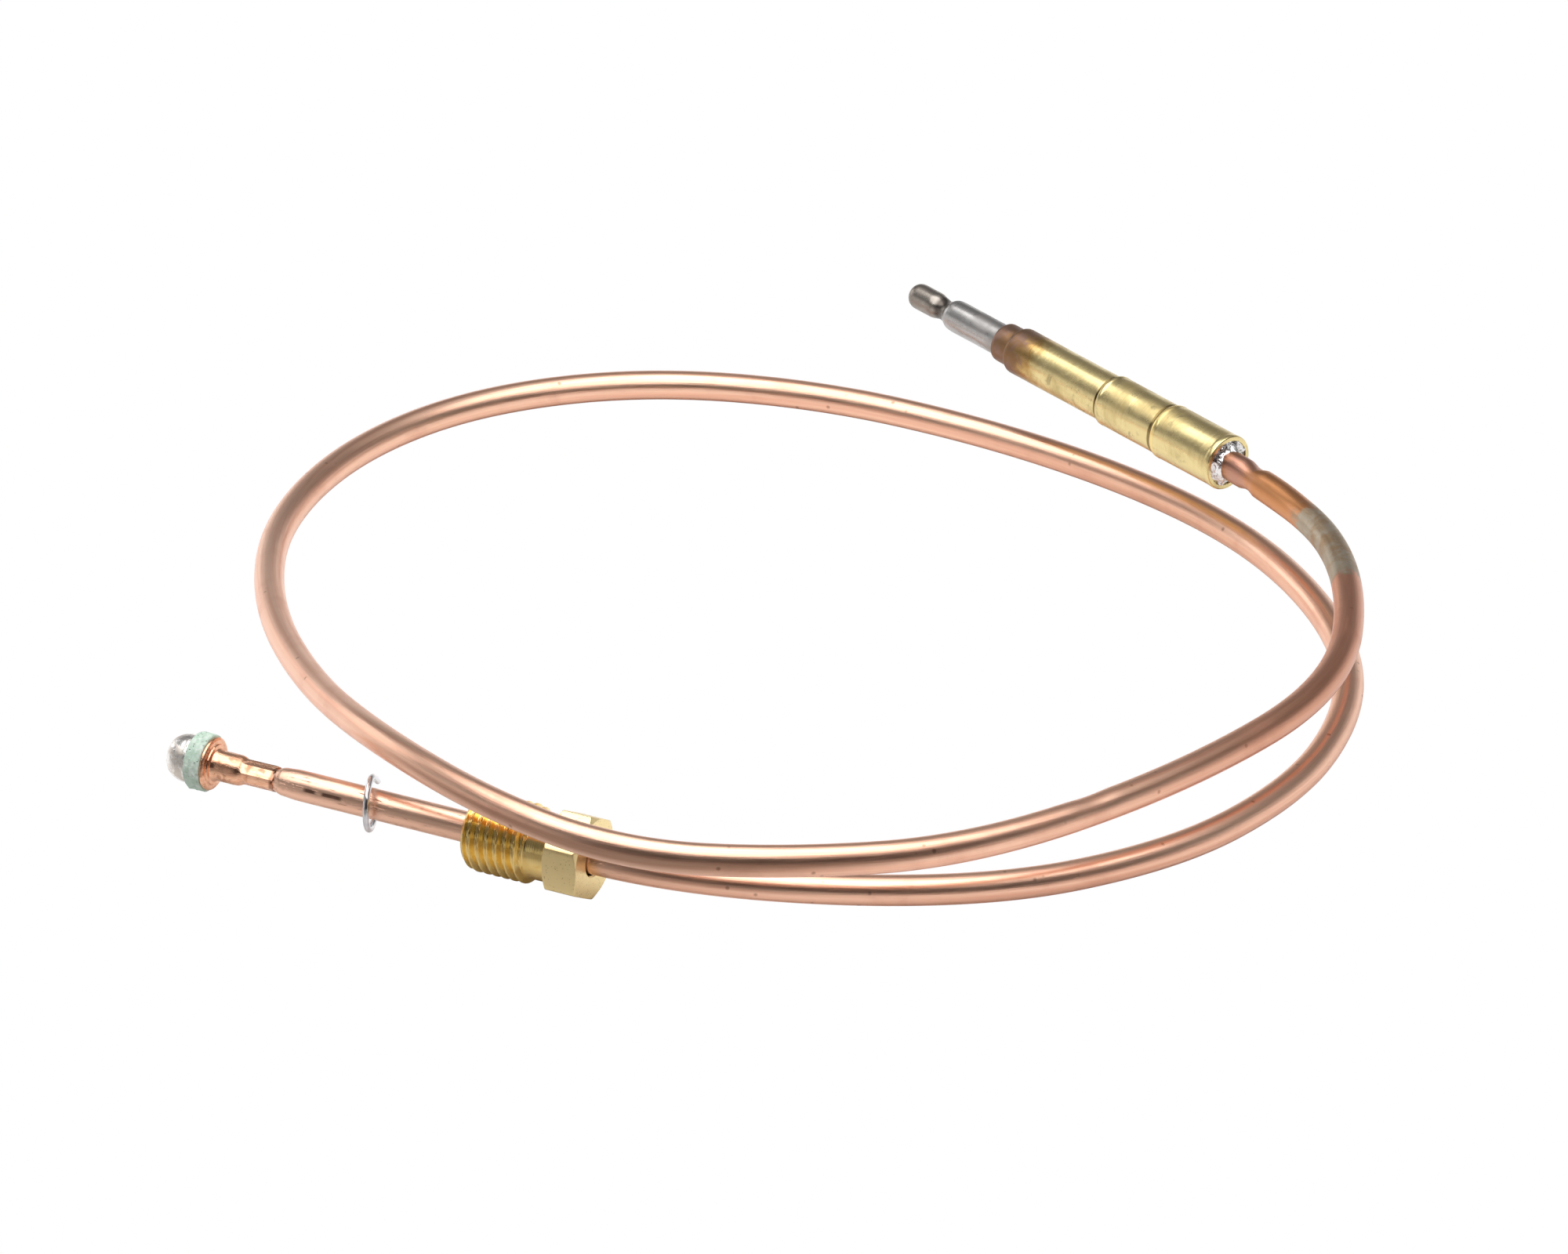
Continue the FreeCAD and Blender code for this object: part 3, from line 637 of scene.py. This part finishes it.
# %% Effect: blotches
blotches, given, result = effect(
    "blotches", [("Place", None), ("Fineness", 0.4), ("Start", 0.5), ("Full", 0.6)],
    ["Mask"])
cloud = node(blotches, "ShaderNodeTexNoise", {
    "Vector": given.outputs["Place"], "Scale": given.outputs["Fineness"],
    "Detail": 7.0, "Roughness": 0.62, "Distortion": 0.4})
blotches.links.new(ramp(blotches, cloud.outputs["Fac"], given.outputs["Start"],
                        given.outputs["Full"]), result.inputs["Mask"])

# %% Effect: fine pits
fine_pits, given, result = effect(
    "fine_pits", [("Place", None), ("Fineness", 4.0), ("Share", 0.3)], ["Mask", "Height"])
cells = node(fine_pits, "ShaderNodeTexVoronoi", {
    "Vector": given.outputs["Place"], "Scale": given.outputs["Fineness"],
    "Randomness": 1.0})
chosen = node(fine_pits, "ShaderNodeSeparateColor", {"Color": cells.outputs["Color"]})
kept = math_node(fine_pits, "LESS_THAN", chosen.outputs[0], given.outputs["Share"])
dot = math_node(fine_pits, "SUBTRACT", 1.0,
                ramp(fine_pits, cells.outputs["Distance"], 0.10, 0.34))
pit = math_node(fine_pits, "MULTIPLY", dot, kept)
fine_pits.links.new(pit, result.inputs["Mask"])
fine_pits.links.new(math_node(fine_pits, "SUBTRACT", 1.0, pit), result.inputs["Height"])

# %% Effect: zone
zone, given, result = effect(
    "zone", [("Place", None), ("From", 0.0), ("To", 1.0), ("Soft", 0.3), ("Ragged", 0.0)],
    ["Mask"])
station = node(zone, "ShaderNodeSeparateXYZ", {0: given.outputs["Place"]}).outputs["X"]
wander = node(zone, "ShaderNodeTexNoise", {
    "Vector": given.outputs["Place"], "Scale": 0.8, "Detail": 4.0, "Roughness": 0.6})
shift = math_node(zone, "MULTIPLY",
                  math_node(zone, "SUBTRACT", wander.outputs["Fac"], 0.5),
                  given.outputs["Ragged"])
moved = math_node(zone, "ADD", station, shift)
soft = given.outputs["Soft"]
rise = ramp(zone, moved, math_node(zone, "SUBTRACT", given.outputs["From"], soft),
            math_node(zone, "ADD", given.outputs["From"], soft))
fall = ramp(zone, moved, math_node(zone, "SUBTRACT", given.outputs["To"], soft),
            math_node(zone, "ADD", given.outputs["To"], soft))
inside = math_node(zone, "MULTIPLY", rise, math_node(zone, "SUBTRACT", 1.0, fall))
zone.links.new(inside, result.inputs["Mask"])
print("effects", [group.name for group in (draw_marks, blotches, fine_pits, zone)])


# %% Material helpers
def new_finish(name, metallic, on_cad_node=False):
    """A material with one Principled shader, and the surface's place in millimetres."""
    material = bpy.data.materials.new(name)
    material.use_nodes = True
    tree = material.node_tree
    tree.nodes.clear()
    shader = node(tree, "ShaderNodeBsdfPrincipled")
    output = node(tree, "ShaderNodeOutputMaterial")
    tree.links.new(shader.outputs[0], output.inputs["Surface"])
    shader.inputs["Metallic"].default_value = metallic
    if on_cad_node:
        spot = node(tree, "ShaderNodeTexCoord").outputs["Object"]
        place = node(tree, "ShaderNodeVectorMath", {0: spot, 1: (1000, 1000, 1000)},
                     operation="MULTIPLY").outputs[0]
    else:
        place = node(tree, "ShaderNodeAttribute", attribute_name="surface")
        place = place.outputs["Vector"]
    return material, tree, shader, place


def placed(tree, group, place, **values):
    """One use of an effect, with this material's own values."""
    made = node(tree, "ShaderNodeGroup", node_tree=group)
    tree.links.new(place, made.inputs["Place"])
    for key, value in values.items():
        made.inputs[key].default_value = value
    return made.outputs


def tinted(tree, mask, first, second, strength=1.0):
    """The colour second laid over first where the mask is 1."""
    if strength != 1.0:
        mask = math_node(tree, "MULTIPLY", mask, strength)
    made = node(tree, "ShaderNodeMix", data_type="RGBA")
    tree.links.new(mask, made.inputs[0])
    for slot, colour in ((6, first), (7, second)):
        if isinstance(colour, bpy.types.NodeSocket):
            tree.links.new(colour, made.inputs[slot])
        else:
            made.inputs[slot].default_value = (*colour, 1.0)
    return made.outputs[2]


def between(tree, mask, low, high):
    """A number that goes from low to high with the mask."""
    return node(tree, "ShaderNodeMapRange", {
        "Value": mask, "To Min": low, "To Max": high}).outputs["Result"]


def relief(tree, shader, height, depth):
    """Feed a height into the shader's normal. depth is in millimetres."""
    made = node(tree, "ShaderNodeBump", {"Height": height, "Strength": 1.0,
                "Distance": depth * MM})
    tree.links.new(made.outputs[0], shader.inputs["Normal"])


def coat_all(piece, material):
    """Give a piece, or a CAD node that is carried over, one finish."""
    piece.data.materials.clear()
    piece.data.materials.append(material)
    print("%-22s wears %s" % (piece.name, material.name))


# %% [markdown]
# ## Copper of the lead
# Drawn copper shows long faint streaks and goes brown where it has been handled. The
# soldering flame oxidised the first centimetres: orange, then an olive-grey scale
# that ends at a sharp line. The tail was cleaned for crimping, so it is paler, with
# scratches and a few dark flecks.

# %% Lead finish
COPPER_PALE = (0.94, 0.60, 0.44)
COPPER_DEEP = (0.85, 0.48, 0.34)
lead_finish, tree, shader, place = new_finish("drawn_copper", 1.0)
streaks = placed(tree, draw_marks, place, Along=0.03, Across=2.2)
fine = placed(tree, draw_marks, place, Along=0.25, Across=9.0)
handled = placed(tree, blotches, place, Fineness=0.12, Start=0.50, Full=0.72)
colour = tinted(tree, streaks["Mask"], COPPER_PALE, COPPER_DEEP)
colour = tinted(tree, handled["Mask"], colour, (0.66, 0.33, 0.23), 0.40)
grime = placed(tree, fine_pits, place, Fineness=1.1, Share=0.04)
colour = tinted(tree, grime["Mask"], colour, (0.30, 0.13, 0.08), 0.6)
reddened = placed(tree, zone, place, From=-5.0, To=PLUG_DEPTH + 75.0, Soft=26.0)
colour = tinted(tree, reddened["Mask"], colour, (0.55, 0.22, 0.13), 0.65)
soldered = placed(tree, zone, place, From=-5.0, To=PLUG_DEPTH + 4.5, Soft=1.5,
                  Ragged=2.0)
colour = tinted(tree, soldered["Mask"], colour, (0.52, 0.27, 0.20), 0.8)
orange = placed(tree, zone, place, From=PLUG_DEPTH + 5.0, To=PLUG_DEPTH + 14.5, Soft=2.0,
                Ragged=9.0)
colour = tinted(tree, orange["Mask"], colour, (0.62, 0.27, 0.09), 0.75)
scale = placed(tree, zone, place, From=PLUG_DEPTH + 14.0, To=PLUG_DEPTH + 29.0,
               Soft=0.8, Ragged=6.0)
scale_cloud = placed(tree, blotches, place, Fineness=0.5, Start=0.35, Full=0.62)
scale_colour = tinted(tree, scale_cloud["Mask"], (0.34, 0.25, 0.15), (0.42, 0.40, 0.32))
colour = tinted(tree, scale["Mask"], colour, scale_colour, 0.88)
cleaned = placed(tree, zone, place, From=lead_length - 38.0, To=lead_length + 9.0,
                 Soft=3.0)
colour = tinted(tree, cleaned["Mask"], colour, (0.95, 0.62, 0.46), 0.6)
scored = placed(tree, draw_marks, place, Along=0.5, Across=5.0)
deep_score = ramp(tree, scored["Height"], 0.60, 0.70)
deep_score = math_node(tree, "MULTIPLY", deep_score, cleaned["Mask"])
colour = tinted(tree, deep_score, colour, (0.34, 0.13, 0.07), 0.7)
for near_end, far_end in ((3.0, 4.3), (5.0, 7.2)):
    spot = placed(tree, zone, place, From=lead_length - far_end,
                  To=lead_length - near_end, Soft=0.25, Ragged=0.6)
    parts = node(tree, "ShaderNodeSeparateXYZ", {0: place})
    height = math_node(tree, "ABSOLUTE",
                       math_node(tree, "SUBTRACT", parts.outputs["Y"], 0.5))
    narrow = math_node(tree, "SUBTRACT", 1.0, ramp(tree, height, 0.10, 0.24))
    fleck = math_node(tree, "MULTIPLY", spot["Mask"], narrow)
    colour = tinted(tree, fleck, colour, (0.10, 0.045, 0.03), 0.85)
tree.links.new(colour, shader.inputs["Base Color"])
dull = math_node(tree, "MAXIMUM", math_node(tree, "MULTIPLY", scale["Mask"], 0.9),
                 math_node(tree, "MULTIPLY", handled["Mask"], 0.5))
rough = math_node(tree, "ADD", between(tree, dull, 0.28, 0.42),
                  between(tree, fine["Mask"], 0.0, 0.05))
tree.links.new(rough, shader.inputs["Roughness"])
relief(tree, shader, math_node(tree, "ADD", fine["Height"],
                               math_node(tree, "MULTIPLY", deep_score, -1.5)), 0.014)
coat_all(lead, lead_finish)

# %% [markdown]
# ## Brass
# The plug's brass is dull and olive with brown blotches, and the flame end is tinted
# brown and purple by heat. The nut is a bright yellow brass straight from the lathe.

# %% Plug finish
plug_finish, tree, shader, place = new_finish("patinated_brass", 1.0)
turning = placed(tree, draw_marks, place, Along=7.0, Across=0.12)
patina = placed(tree, blotches, place, Fineness=0.22, Start=0.44, Full=0.68)
stains = placed(tree, blotches, place, Fineness=0.5, Start=0.58, Full=0.72)
colour = tinted(tree, patina["Mask"], (0.82, 0.67, 0.33), (0.52, 0.40, 0.17), 0.80)
colour = tinted(tree, stains["Mask"], colour, (0.22, 0.18, 0.09), 0.60)
colour = tinted(tree, turning["Mask"], colour, (0.93, 0.80, 0.44), 0.25)
warmed = placed(tree, zone, place, From=27.5, To=60.0, Soft=1.6, Ragged=5.5)
colour = tinted(tree, warmed["Mask"], colour, (0.46, 0.26, 0.07), 0.85)
burnt = placed(tree, zone, place, From=29.6, To=60.0, Soft=1.2, Ragged=5.0)
burnt_cloud = placed(tree, blotches, place, Fineness=0.6, Start=0.40, Full=0.62)
burnt_colour = tinted(tree, burnt_cloud["Mask"], (0.22, 0.12, 0.07), (0.24, 0.15, 0.14))
colour = tinted(tree, burnt["Mask"], colour, burnt_colour, 0.85)
# Painted shade: the groove under the front lip is coloured dark, as shade falls in it.
groove = placed(tree, zone, place, From=17.6, To=18.05, Soft=0.06)
colour = tinted(tree, groove["Mask"], colour, (0.14, 0.09, 0.03), 0.85)
# Painted shade: the small groove behind the bead is coloured dark, as shade falls in it.
painted_shade_under_bead = placed(tree, zone, place, From=9.08, To=9.5, Soft=0.08)
colour = tinted(tree, painted_shade_under_bead["Mask"], colour, (0.16, 0.10, 0.03), 0.8)
# Painted highlight: the crest of the bead is coloured a light gold.
crest = placed(tree, zone, place, From=8.4, To=9.0, Soft=0.1)
colour = tinted(tree, crest["Mask"], colour, (0.95, 0.74, 0.32), 0.85)
tree.links.new(colour, shader.inputs["Base Color"])
worn = math_node(tree, "MAXIMUM", patina["Mask"], burnt["Mask"])
tree.links.new(between(tree, worn, 0.24, 0.42), shader.inputs["Roughness"])
relief(tree, shader, math_node(tree, "ADD", turning["Height"], stains["Mask"]), 0.008)
coat_all(plug, plug_finish)

# %% Nut finish
nut_finish, tree, shader, place = new_finish("bright_brass", 1.0)
turning = placed(tree, draw_marks, place, Along=9.0, Across=0.15)
pits = placed(tree, fine_pits, place, Fineness=5.0, Share=0.35)
cloudy = placed(tree, blotches, place, Fineness=0.8, Start=0.42, Full=0.70)
on_hexagon = placed(tree, zone, place, From=-1.0, To=3.85, Soft=0.05)
colour = tinted(tree, cloudy["Mask"], (0.96, 0.73, 0.30), (0.88, 0.62, 0.22))
colour = tinted(tree, on_hexagon["Mask"], colour, (0.90, 0.75, 0.42), 0.75)
hexagon_pits = math_node(tree, "MULTIPLY", pits["Mask"], on_hexagon["Mask"])
colour = tinted(tree, hexagon_pits, colour, (0.36, 0.25, 0.08), 0.7)
tree.links.new(colour, shader.inputs["Base Color"])
tree.links.new(between(tree, on_hexagon["Mask"], 0.13, 0.33), shader.inputs["Roughness"])
marks = math_node(tree, "MULTIPLY", turning["Height"],
                  math_node(tree, "SUBTRACT", 1.0, on_hexagon["Mask"]))
relief(tree, shader, math_node(tree, "SUBTRACT", marks, hexagon_pits), 0.02)
coat_all(nut, nut_finish)

# %% [markdown]
# ## Steel, solder and wire
# The sensing tube is satin steel that the flame has darkened towards the tip. Solder
# is a bright, soft metal. The ring is polished spring wire.

# %% Tube finish
tube_finish, tree, shader, place = new_finish("flame_darkened_steel", 1.0)
turning = placed(tree, draw_marks, place, Along=5.0, Across=0.4)
sooty = placed(tree, blotches, place, Fineness=0.35, Start=0.40, Full=0.70)
dark_end = placed(tree, zone, place, From=42.8, To=60.0, Soft=0.5, Ragged=1.0)
colour = tinted(tree, sooty["Mask"], (0.50, 0.49, 0.48), (0.37, 0.355, 0.345), 0.7)
colour = tinted(tree, dark_end["Mask"], colour, (0.34, 0.30, 0.26), 0.85)
blackened = math_node(tree, "MULTIPLY", sooty["Mask"], dark_end["Mask"])
colour = tinted(tree, blackened, colour, (0.16, 0.13, 0.11), 0.5)
# Painted shade: the narrow swaged neck is coloured almost black, as shade falls in it.
painted_shade_at_waist = placed(tree, zone, place, From=43.2, To=44.6, Soft=0.3, Ragged=0.4)
colour = tinted(tree, painted_shade_at_waist["Mask"], colour, (0.05, 0.04, 0.035), 0.75)
tree.links.new(colour, shader.inputs["Base Color"])
tree.links.new(between(tree, sooty["Mask"], 0.26, 0.42), shader.inputs["Roughness"])
relief(tree, shader, math_node(tree, "ADD", turning["Height"], sooty["Mask"]), 0.006)
coat_all(sensing_tube, tube_finish)

# %% Solder finish
solder_finish, tree, shader, place = new_finish("lumpy_solder", 1.0)
dross = placed(tree, blotches, place, Fineness=1.6, Start=0.54, Full=0.62)
grain = placed(tree, blotches, place, Fineness=6.0, Start=0.30, Full=0.70)
colour = tinted(tree, dross["Mask"], (0.84, 0.83, 0.83), (0.20, 0.17, 0.16), 0.85)
tree.links.new(colour, shader.inputs["Base Color"])
tree.links.new(between(tree, grain["Mask"], 0.12, 0.34), shader.inputs["Roughness"])
relief(tree, shader, grain["Mask"], 0.006)
coat_all(solder, solder_finish)

# %% Ring finish
ring_finish, tree, shader, place = new_finish("plated_spring_wire", 1.0)
drawn = placed(tree, draw_marks, place, Along=0.8, Across=9.0)
worn = placed(tree, blotches, place, Fineness=0.7, Start=0.48, Full=0.70)
colour = tinted(tree, worn["Mask"], (0.80, 0.81, 0.84), (0.52, 0.53, 0.56), 0.7)
tree.links.new(colour, shader.inputs["Base Color"])
tree.links.new(between(tree, drawn["Mask"], 0.10, 0.26), shader.inputs["Roughness"])
relief(tree, shader, drawn["Height"], 0.008)
coat_all(wire_ring, ring_finish)

# %% [markdown]
# ## The contact end's finishes
# The ferrule is warm pressed copper. The washer is vulcanised fibre, pale green and
# matt, with a fibrous edge. The button's coat of solder has dulled unevenly.

# %% Ferrule finish
ferrule_finish, tree, shader, place = new_finish("pressed_copper", 1.0)
drawn = placed(tree, draw_marks, place, Along=0.6, Across=4.0)
brown = placed(tree, blotches, place, Fineness=0.9, Start=0.48, Full=0.66)
colour = tinted(tree, drawn["Mask"], (0.96, 0.58, 0.39), (0.87, 0.45, 0.28))
colour = tinted(tree, brown["Mask"], colour, (0.42, 0.18, 0.10), 0.6)
# Painted shade: the notched rear edge of the skirt is coloured dark, as shade falls
# between the notches.
painted_shade_at_notches = placed(tree, zone, place, From=0.0, To=1.15, Soft=0.15, Ragged=0.3)
colour = tinted(tree, painted_shade_at_notches["Mask"], colour, (0.20, 0.08, 0.05), 0.7)
tree.links.new(colour, shader.inputs["Base Color"])
tree.links.new(between(tree, brown["Mask"], 0.20, 0.38), shader.inputs["Roughness"])
relief(tree, shader, drawn["Height"], 0.03)
coat_all(ferrule, ferrule_finish)

# %% Washer finish
washer_finish, tree, shader, place = new_finish("pale_green_fibre", 0.0)
fibres = placed(tree, draw_marks, place, Along=3.0, Across=1.4)
speckle = placed(tree, fine_pits, place, Fineness=3.2, Share=0.4)
faded = placed(tree, blotches, place, Fineness=0.8, Start=0.42, Full=0.62)
colour = tinted(tree, faded["Mask"], (0.56, 0.72, 0.61), (0.76, 0.85, 0.78))
colour = tinted(tree, fibres["Mask"], colour, (0.38, 0.55, 0.43), 0.45)
colour = tinted(tree, speckle["Mask"], colour, (0.82, 0.88, 0.82), 0.6)
tree.links.new(colour, shader.inputs["Base Color"])
tree.links.new(between(tree, fibres["Mask"], 0.62, 0.85), shader.inputs["Roughness"])
relief(tree, shader, math_node(tree, "ADD", fibres["Height"], speckle["Mask"]), 0.12)
coat_all(washer, washer_finish)

# %% Button finish
button_finish, tree, shader, place = new_finish("dull_tinned_dome", 1.0)
dulled = placed(tree, blotches, place, Fineness=0.55, Start=0.44, Full=0.60)
spots = placed(tree, fine_pits, place, Fineness=2.4, Share=0.25)
colour = tinted(tree, dulled["Mask"], (0.88, 0.86, 0.83), (0.62, 0.54, 0.47), 0.75)
colour = tinted(tree, spots["Mask"], colour, (0.36, 0.29, 0.24), 0.35)
tree.links.new(colour, shader.inputs["Base Color"])
tree.links.new(between(tree, dulled["Mask"], 0.22, 0.46), shader.inputs["Roughness"])
relief(tree, shader, math_node(tree, "SUBTRACT", dulled["Mask"], spots["Mask"]), 0.015)
coat_all(button, button_finish)

# %% [markdown]
# ## What is inside
# Seven CAD nodes stay as they are, sealed inside the plug and the lead: two wires,
# their crimp, the weld and three lengths of sleeving. They get plain metal and
# braided-glass finishes, for anyone who cuts the model open.

# %% Inner finishes
def inner_metal(name, bright, dark, roughness):
    """A drawn metal for a sealed inner piece."""
    material, tree, shader, place = new_finish(name, 1.0, on_cad_node=True)
    cloud = placed(tree, blotches, place, Fineness=0.7, Start=0.40, Full=0.68)
    speck = placed(tree, fine_pits, place, Fineness=3.0, Share=0.3)
    colour = tinted(tree, cloud["Mask"], bright, dark)
    colour = tinted(tree, speck["Mask"], colour, dark, 0.7)
    tree.links.new(colour, shader.inputs["Base Color"])
    tree.links.new(between(tree, cloud["Mask"], roughness, roughness + 0.2),
                   shader.inputs["Roughness"])
    relief(tree, shader, speck["Height"], 0.02)
    return material


def braided_glass():
    """Glass-fibre sleeving: two sets of fine waves that cross."""
    material, tree, shader, place = new_finish("braided_glass", 0.0, on_cad_node=True)
    threads = []
    for direction in ("X", "DIAGONAL"):
        wave = node(tree, "ShaderNodeTexWave", {
            "Vector": place, "Scale": 1.6, "Distortion": 0.6, "Detail": 1.0},
            bands_direction=direction)
        threads.append(wave.outputs["Fac"])
    weave = math_node(tree, "MAXIMUM", *threads)
    soiled = placed(tree, blotches, place, Fineness=0.3, Start=0.45, Full=0.75)
    colour = tinted(tree, weave, (0.62, 0.59, 0.52), (0.88, 0.87, 0.83))
    colour = tinted(tree, soiled["Mask"], colour, (0.66, 0.58, 0.44), 0.4)
    tree.links.new(colour, shader.inputs["Base Color"])
    tree.links.new(between(tree, weave, 0.85, 0.6), shader.inputs["Roughness"])
    relief(tree, shader, weave, 0.1)
    return material


INNER_METALS = [
    # CAD node, finish, bright colour, dark colour, roughness
    ("lead_core", "core_copper", (0.90, 0.54, 0.40), (0.66, 0.33, 0.22), 0.22),
    ("constantan_wire", "constantan", (0.70, 0.67, 0.62), (0.48, 0.45, 0.41), 0.25),
    ("hot_junction_weld", "weld_metal", (0.45, 0.43, 0.41), (0.16, 0.15, 0.14), 0.35),
    ("cold_junction_crimp", "crimp_brass", (0.82, 0.66, 0.30), (0.55, 0.42, 0.16), 0.3),
]
INNER = {inside: inner_metal(*values) for inside, *values in INNER_METALS}
glass = braided_glass()
for inside in ("lead_insulation", "tip_insulator", "splice_cover"):
    INNER[inside] = glass
for name, material in INNER.items():
    coat_all(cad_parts[name], material)
print("inner nodes finished", len(INNER))

# %% [markdown]
# ## Table and light
# Small polished parts are mostly a picture of the room. A broad soft light hangs
# above and a small one stands at the left. The table is white. The room is brightest
# at its horizon, dim above that, brighter again overhead and darkest at the front
# right, so that each tube gets a darker middle between bright edges. A grey card lies
# on the table in front of the part for the same reason.

# %% Table
table_mesh = bpy.data.meshes.new("table")
reach = 0.9             # metres from the middle to each edge
table_mesh.from_pydata([(-reach, -reach, 0), (reach, -reach, 0), (reach, reach, 0),
                        (-reach, reach, 0)], [], [(0, 1, 2, 3)])
table = bpy.data.objects.new("table", table_mesh)
table.location.z = -0.0004      # just clear of the lead's underside
bpy.context.scene.collection.objects.link(table)
table_finish = bpy.data.materials.new("white_table")
table_finish.use_nodes = True
tree = table_finish.node_tree
tree.nodes.clear()
seen = node(tree, "ShaderNodeEmission", {"Color": (1, 1, 1, 1), "Strength": 1.0})
across = node(tree, "ShaderNodeVectorMath", {
    0: node(tree, "ShaderNodeTexCoord").outputs["Object"], 1: (0, -1, 0)},
    operation="DOT_PRODUCT").outputs["Value"]
card = node(tree, "ShaderNodeValToRGB", {"Fac": node(tree, "ShaderNodeMapRange", {
    "Value": across, "From Min": 0.056, "From Max": 0.076}).outputs["Result"]})
stops = card.color_ramp.elements
stops[0].color = (0.85, 0.85, 0.85, 1)
stops[1].color = (0.24, 0.225, 0.215, 1)
lit = node(tree, "ShaderNodeBsdfDiffuse", {"Color": card.outputs[0]})
rays = node(tree, "ShaderNodeLightPath")
both = node(tree, "ShaderNodeMixShader", {
    0: rays.outputs["Is Camera Ray"], 1: lit.outputs[0], 2: seen.outputs[0]})
node(tree, "ShaderNodeOutputMaterial", {"Surface": both.outputs[0]})
table_mesh.materials.append(table_finish)
print("table", 2 * reach, "m across")

# %% Room
world = bpy.data.worlds.new("room")
bpy.context.scene.world = world
world.use_nodes = True
tree = world.node_tree
tree.nodes.clear()
direction = node(tree, "ShaderNodeTexCoord").outputs["Generated"]
height = node(tree, "ShaderNodeSeparateXYZ", {0: direction}).outputs["Z"]
shade = node(tree, "ShaderNodeValToRGB", {"Fac": height})
stops = shade.color_ramp.elements
stops[0].position, stops[0].color = 0.0, (1.0, 0.99, 0.98, 1)
stops[1].position, stops[1].color = 1.0, (0.80, 0.80, 0.82, 1)
for position, level in ((0.12, 0.85), (0.30, 0.25), (0.62, 0.22), (0.85, 0.55)):
    stops.new(position).color = (level, level * 0.98, level * 0.97, 1)
to_front = node(tree, "ShaderNodeVectorMath", {0: direction, 1: (0.60, -0.80, 0)},
                operation="DOT_PRODUCT").outputs["Value"]
darker = ramp(tree, to_front, 0.1, 0.8)
tone = tinted(tree, darker, shade.outputs[0], (0.05, 0.04, 0.038))
room = node(tree, "ShaderNodeBackground", {"Color": tone, "Strength": 0.9})
white = node(tree, "ShaderNodeBackground", {"Color": (1, 1, 1, 1), "Strength": 1.0})
rays = node(tree, "ShaderNodeLightPath")
both = node(tree, "ShaderNodeMixShader", {
    0: rays.outputs["Is Camera Ray"], 1: room.outputs[0], 2: white.outputs[0]})
node(tree, "ShaderNodeOutputWorld", {"Surface": both.outputs[0]})
print("room shades", len(stops))

# %% Lights
LIGHTS = [
    # name, place, size across and deep, power in watts, colour
    ("overhead", (0.0, -0.09, 0.50), (0.90, 0.66), 4.0, (1.0, 0.99, 0.98)),
    ("left_side", (-0.62, 0.10, 0.22), (0.35, 0.30), 0.40, (1.0, 1.0, 1.0)),
]
for name, spot, (across, deep), power, colour in LIGHTS:
    lamp = bpy.data.lights.new(name, "AREA")
    lamp.shape = "RECTANGLE"
    lamp.size, lamp.size_y = across, deep
    lamp.energy = power
    lamp.color = colour
    light = bpy.data.objects.new(name, lamp)
    bpy.context.scene.collection.objects.link(light)
    light.location = spot
    light.rotation_euler = (-Vector(spot)).to_track_quat("-Z", "Y").to_euler()
bpy.context.scene.view_settings.view_transform = "Standard"
print("lights", [row[0] for row in LIGHTS])
